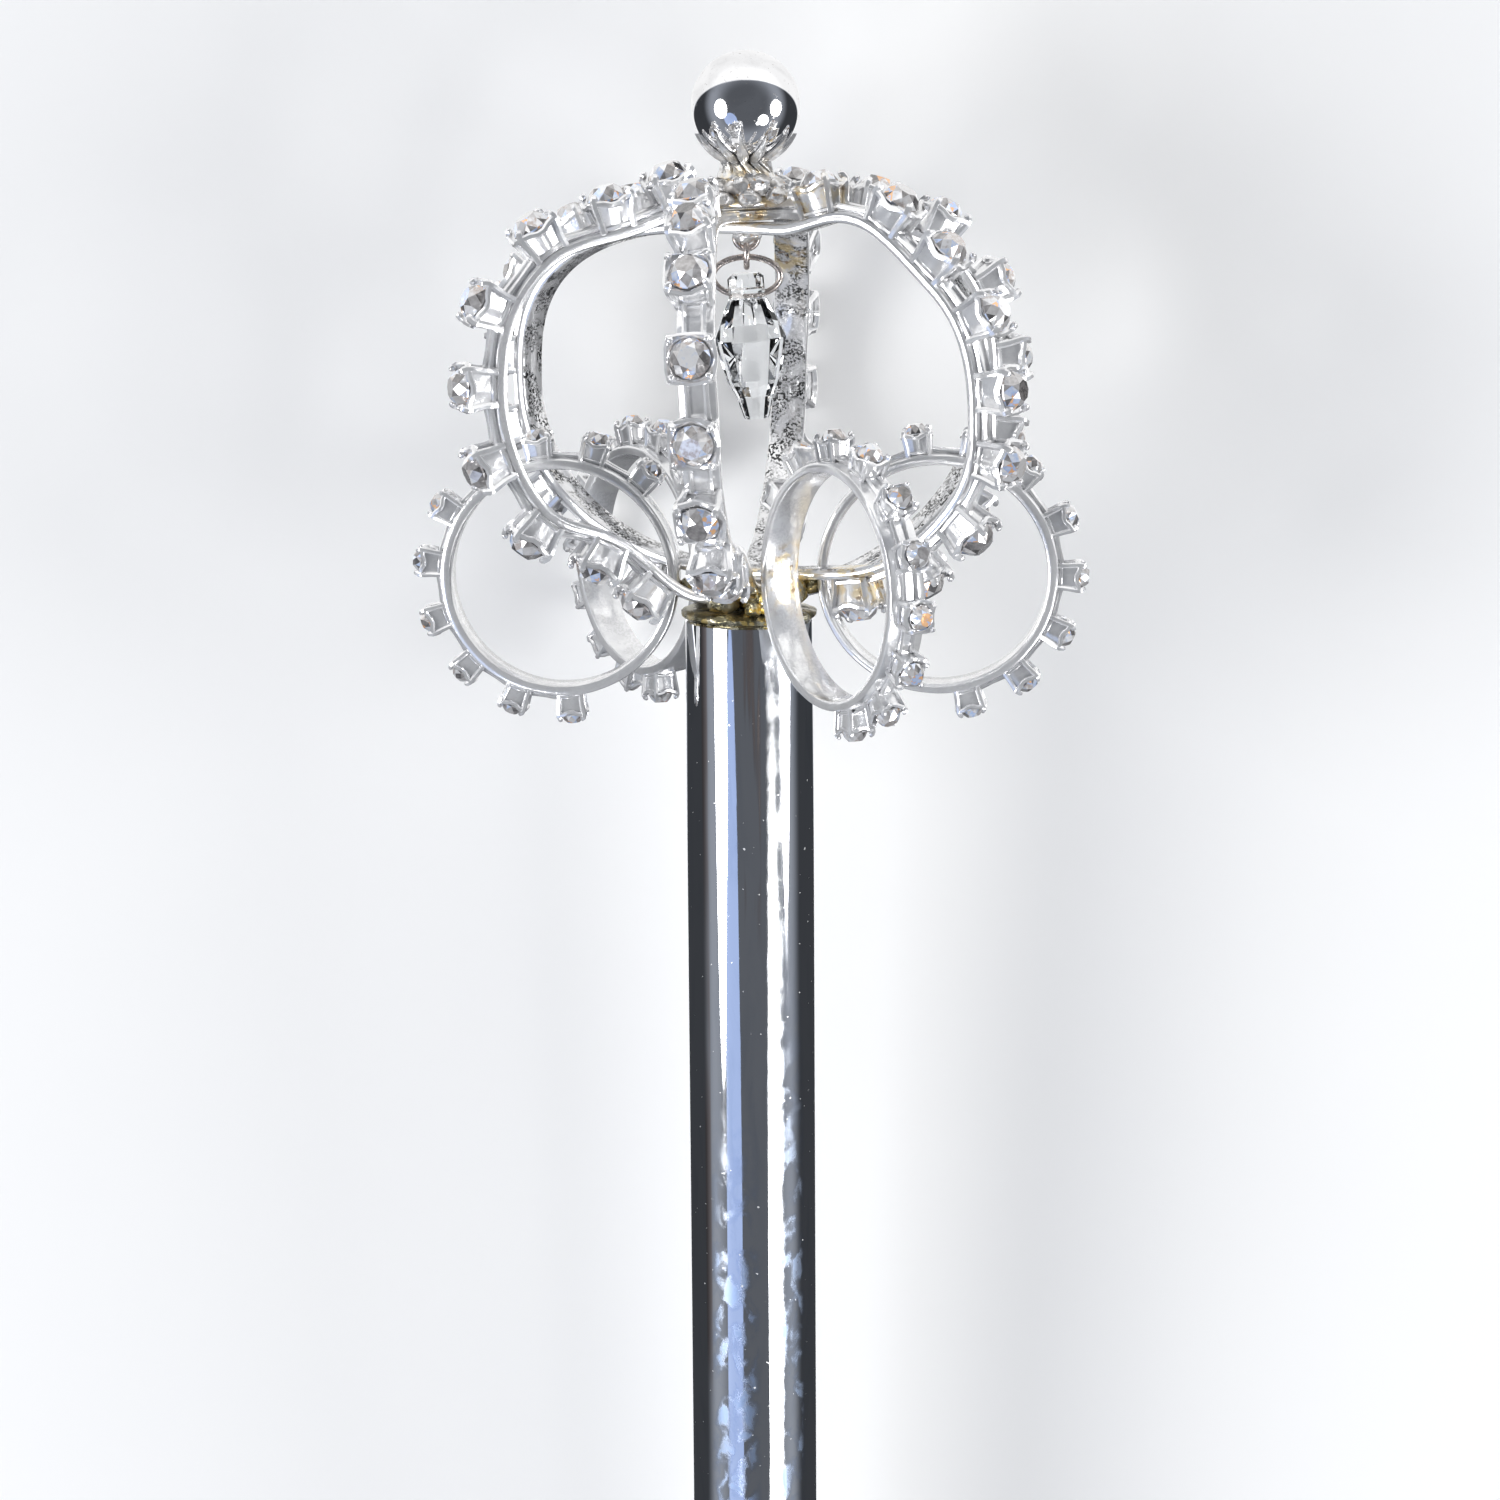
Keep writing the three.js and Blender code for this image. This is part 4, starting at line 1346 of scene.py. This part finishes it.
eye = []
for i in range(25):
    turn = math.pi + math.pi * i / 24
    eye.append(Vector((EYE_RADIUS * math.cos(turn), 0, EYE_HEIGHT + EYE_RADIUS * math.sin(turn))))
hanging_link = [Vector((0, p.x, p.y + LINK_HEIGHT)) for p in circle(LINK_RADIUS, 0, 40)]
oval = [Vector((p.x * LOOP_HALF_WIDTH, 0, p.y * LOOP_HALF_HEIGHT + LOOP_HEIGHT)) for p in circle(1, 0, 64)]
add_piece("eye_wire", wire_mesh("eye_wire", eye, False), NICKEL, "wire", "drop_eye", sharp=60)
add_piece("link_wire", wire_mesh("link_wire", hanging_link, True), NICKEL, "wire", "drop_link", sharp=60)
add_piece("oval_wire", wire_mesh("oval_wire", oval, True), NICKEL, "wire", "drop_ring", sharp=60)

# %% Glass drop
DROP_RINGS = [
    (1.30, 19.9),
    (1.45, 20.1),
    (2.1, 22.2),
    (3.0, 23.8),
    (4.05, 27.8),
    (2.5, 31.0),
    (2.05, 31.7),
    (2.05, 33.7),
    (1.5, 34.1),
]
DROP_SIDES = 6
CORNER_CUT = 0.17
HOLE_RADIUS = 0.75
HOLE_HEIGHT = 32.05
DROP_LEAN = math.radians(-4.3)


def drop_section(radius, height):
    """A hexagon whose corners are cut off to narrow faces."""
    corners = circle(radius, height, DROP_SIDES, 0.5)
    points = []
    for k, corner in enumerate(corners):
        points.append(corner.lerp(corners[k - 1], CORNER_CUT))
        points.append(corner.lerp(corners[(k + 1) % DROP_SIDES], CORNER_CUT))
    return points


def drop_mesh():
    solid = template(loft("glass", [drop_section(r, z) for r, z in DROP_RINGS], place=Matrix.Identity(4)))
    drill = [[Vector((x, p.x, p.y + HOLE_HEIGHT)) for p in circle(HOLE_RADIUS, 0, 16)] for x in (-5, 5)]
    hole = template(loft("hole", drill, place=Matrix.Identity(4)))
    cut = solid.modifiers.new("cut", "BOOLEAN")
    cut.object = hole
    cut.operation = "DIFFERENCE"
    cut.solver = "EXACT"
    depsgraph = bpy.context.evaluated_depsgraph_get()
    mesh = bpy.data.meshes.new_from_object(solid.evaluated_get(depsgraph))
    bpy.data.objects.remove(solid)
    bpy.data.objects.remove(hole)
    hanging = Vector((0, 0, HOLE_HEIGHT))
    leaning = Matrix.Translation(hanging) @ Matrix.Rotation(DROP_LEAN, 4, "Y") @ Matrix.Translation(-hanging)
    mesh.transform(TURNED @ leaning)
    return mesh


add_piece("cut_glass_drop", drop_mesh(), CLEAR_GLASS, "clear_glass", "glass_drop", sharp=8)

# %% [markdown]
# ## Floor and light
#
# Chrome is lit by what it reflects, so the lights are large soft panels, placed where the streaks on the
# tube and the patches on the ball want them: a wide one on each side, a narrower one low on the right, a
# dim bluish one low on the left, and two small lamps for the ball. The rest of the room is dark, and a
# bright wall stands beyond the head, which makes the white cap on the ball. The floor is plain and pale,
# but metal doesn't mirror it, so that the tube's sides stay dark against it. The Standard view lets the
# brightest reflections go all the way to white.


# %% Floor
def floor_finish():
    material, shader, place = start_finish("floor", Roughness=0.9)
    grain = noise_at(place, 40.0, 2.0)
    feed(shader, Base_Color=mixed(grain, (0.90, 0.90, 0.90), (0.93, 0.93, 0.925)))
    return material


FLOOR_HALF = 3.0
floor_mesh = bpy.data.meshes.new("floor")
corners = [(x * FLOOR_HALF, y * FLOOR_HALF, 0) for x, y in ((-1, -1), (1, -1), (1, 1), (-1, 1))]
floor_mesh.from_pydata(corners, [], [(0, 1, 2, 3)])
floor_mesh.materials.append(floor_finish())
floor = bpy.data.objects.new("floor", floor_mesh)
bpy.context.scene.collection.objects.link(floor)
floor.visible_glossy = False


# %% Panels
def panel(name, sideways, upwards, distance, size, strength, colour=(1.0, 1.0, 1.0)):
    """A soft oval panel, seen from the head in a direction from overhead: degrees to +X, and to +Y."""
    head = in_room(0, 0, 20)
    across, ahead = math.radians(sideways), math.radians(upwards)
    level = math.cos(ahead)
    direction = Vector((math.sin(across) * level, math.sin(ahead), math.cos(across) * level))
    data = bpy.data.lights.new(name, "AREA")
    data.shape = "ELLIPSE"
    data.size, data.size_y = size
    data.energy = strength * math.pi * math.pi / 4 * size[0] * size[1]
    data.color = colour
    light = bpy.data.objects.new(name, data)
    bpy.context.scene.collection.objects.link(light)
    turn = direction.to_track_quat("Z", "Y")
    light.matrix_world = Matrix.Translation(head + direction * distance) @ turn.to_matrix().to_4x4()
    return light


BLUISH = (0.45, 0.60, 1.0)
panel("left_panel", -55, -4.5, 0.8, (0.51, 0.41), 9.0)
panel("right_panel", 67, -3.7, 0.8, (0.417, 0.39), 9.0)
panel("low_right_panel", 42, -28, 0.8, (0.30, 0.34), 6.0)
panel("low_left_panel", -36, -27, 0.85, (0.42, 0.40), 0.7, BLUISH)
panel("left_lamp", -27, -38, 0.8, (0.10, 0.10), 8.0)
panel("right_lamp", 30, -36, 0.8, (0.10, 0.10), 8.0)


# %% Room
WALL_LEAN = 0.605


def room_light():
    """A room that glows faintly around and is dark overhead, with a bright wall beyond the head."""
    world = bpy.data.worlds.new("studio")
    world.use_nodes = True
    tree = world.node_tree
    towards = Wire(tree).node("ShaderNodeTexCoord", output="Generated")
    ahead, up = towards.part("Y"), towards.part("Z")
    wall = between(ahead - up * WALL_LEAN, 0.41, 0.46)
    low_glow = between(up, -0.2, 0.25) * (1 - between(up, 0.30, 0.80) * 0.75)
    colour = mixed(wall, (0.82, 0.88, 1.0), (1.0, 1.0, 1.0))
    background = tree.nodes["Background"]
    tree.links.new(colour.socket, background.inputs["Color"])
    strength = low_glow * 0.30 + wall * 0.95 + 0.05
    tree.links.new(strength.socket, background.inputs["Strength"])
    bpy.context.scene.world = world


room_light()
bpy.context.scene.view_settings.view_transform = "Standard"
print("lights:", len(bpy.data.lights))
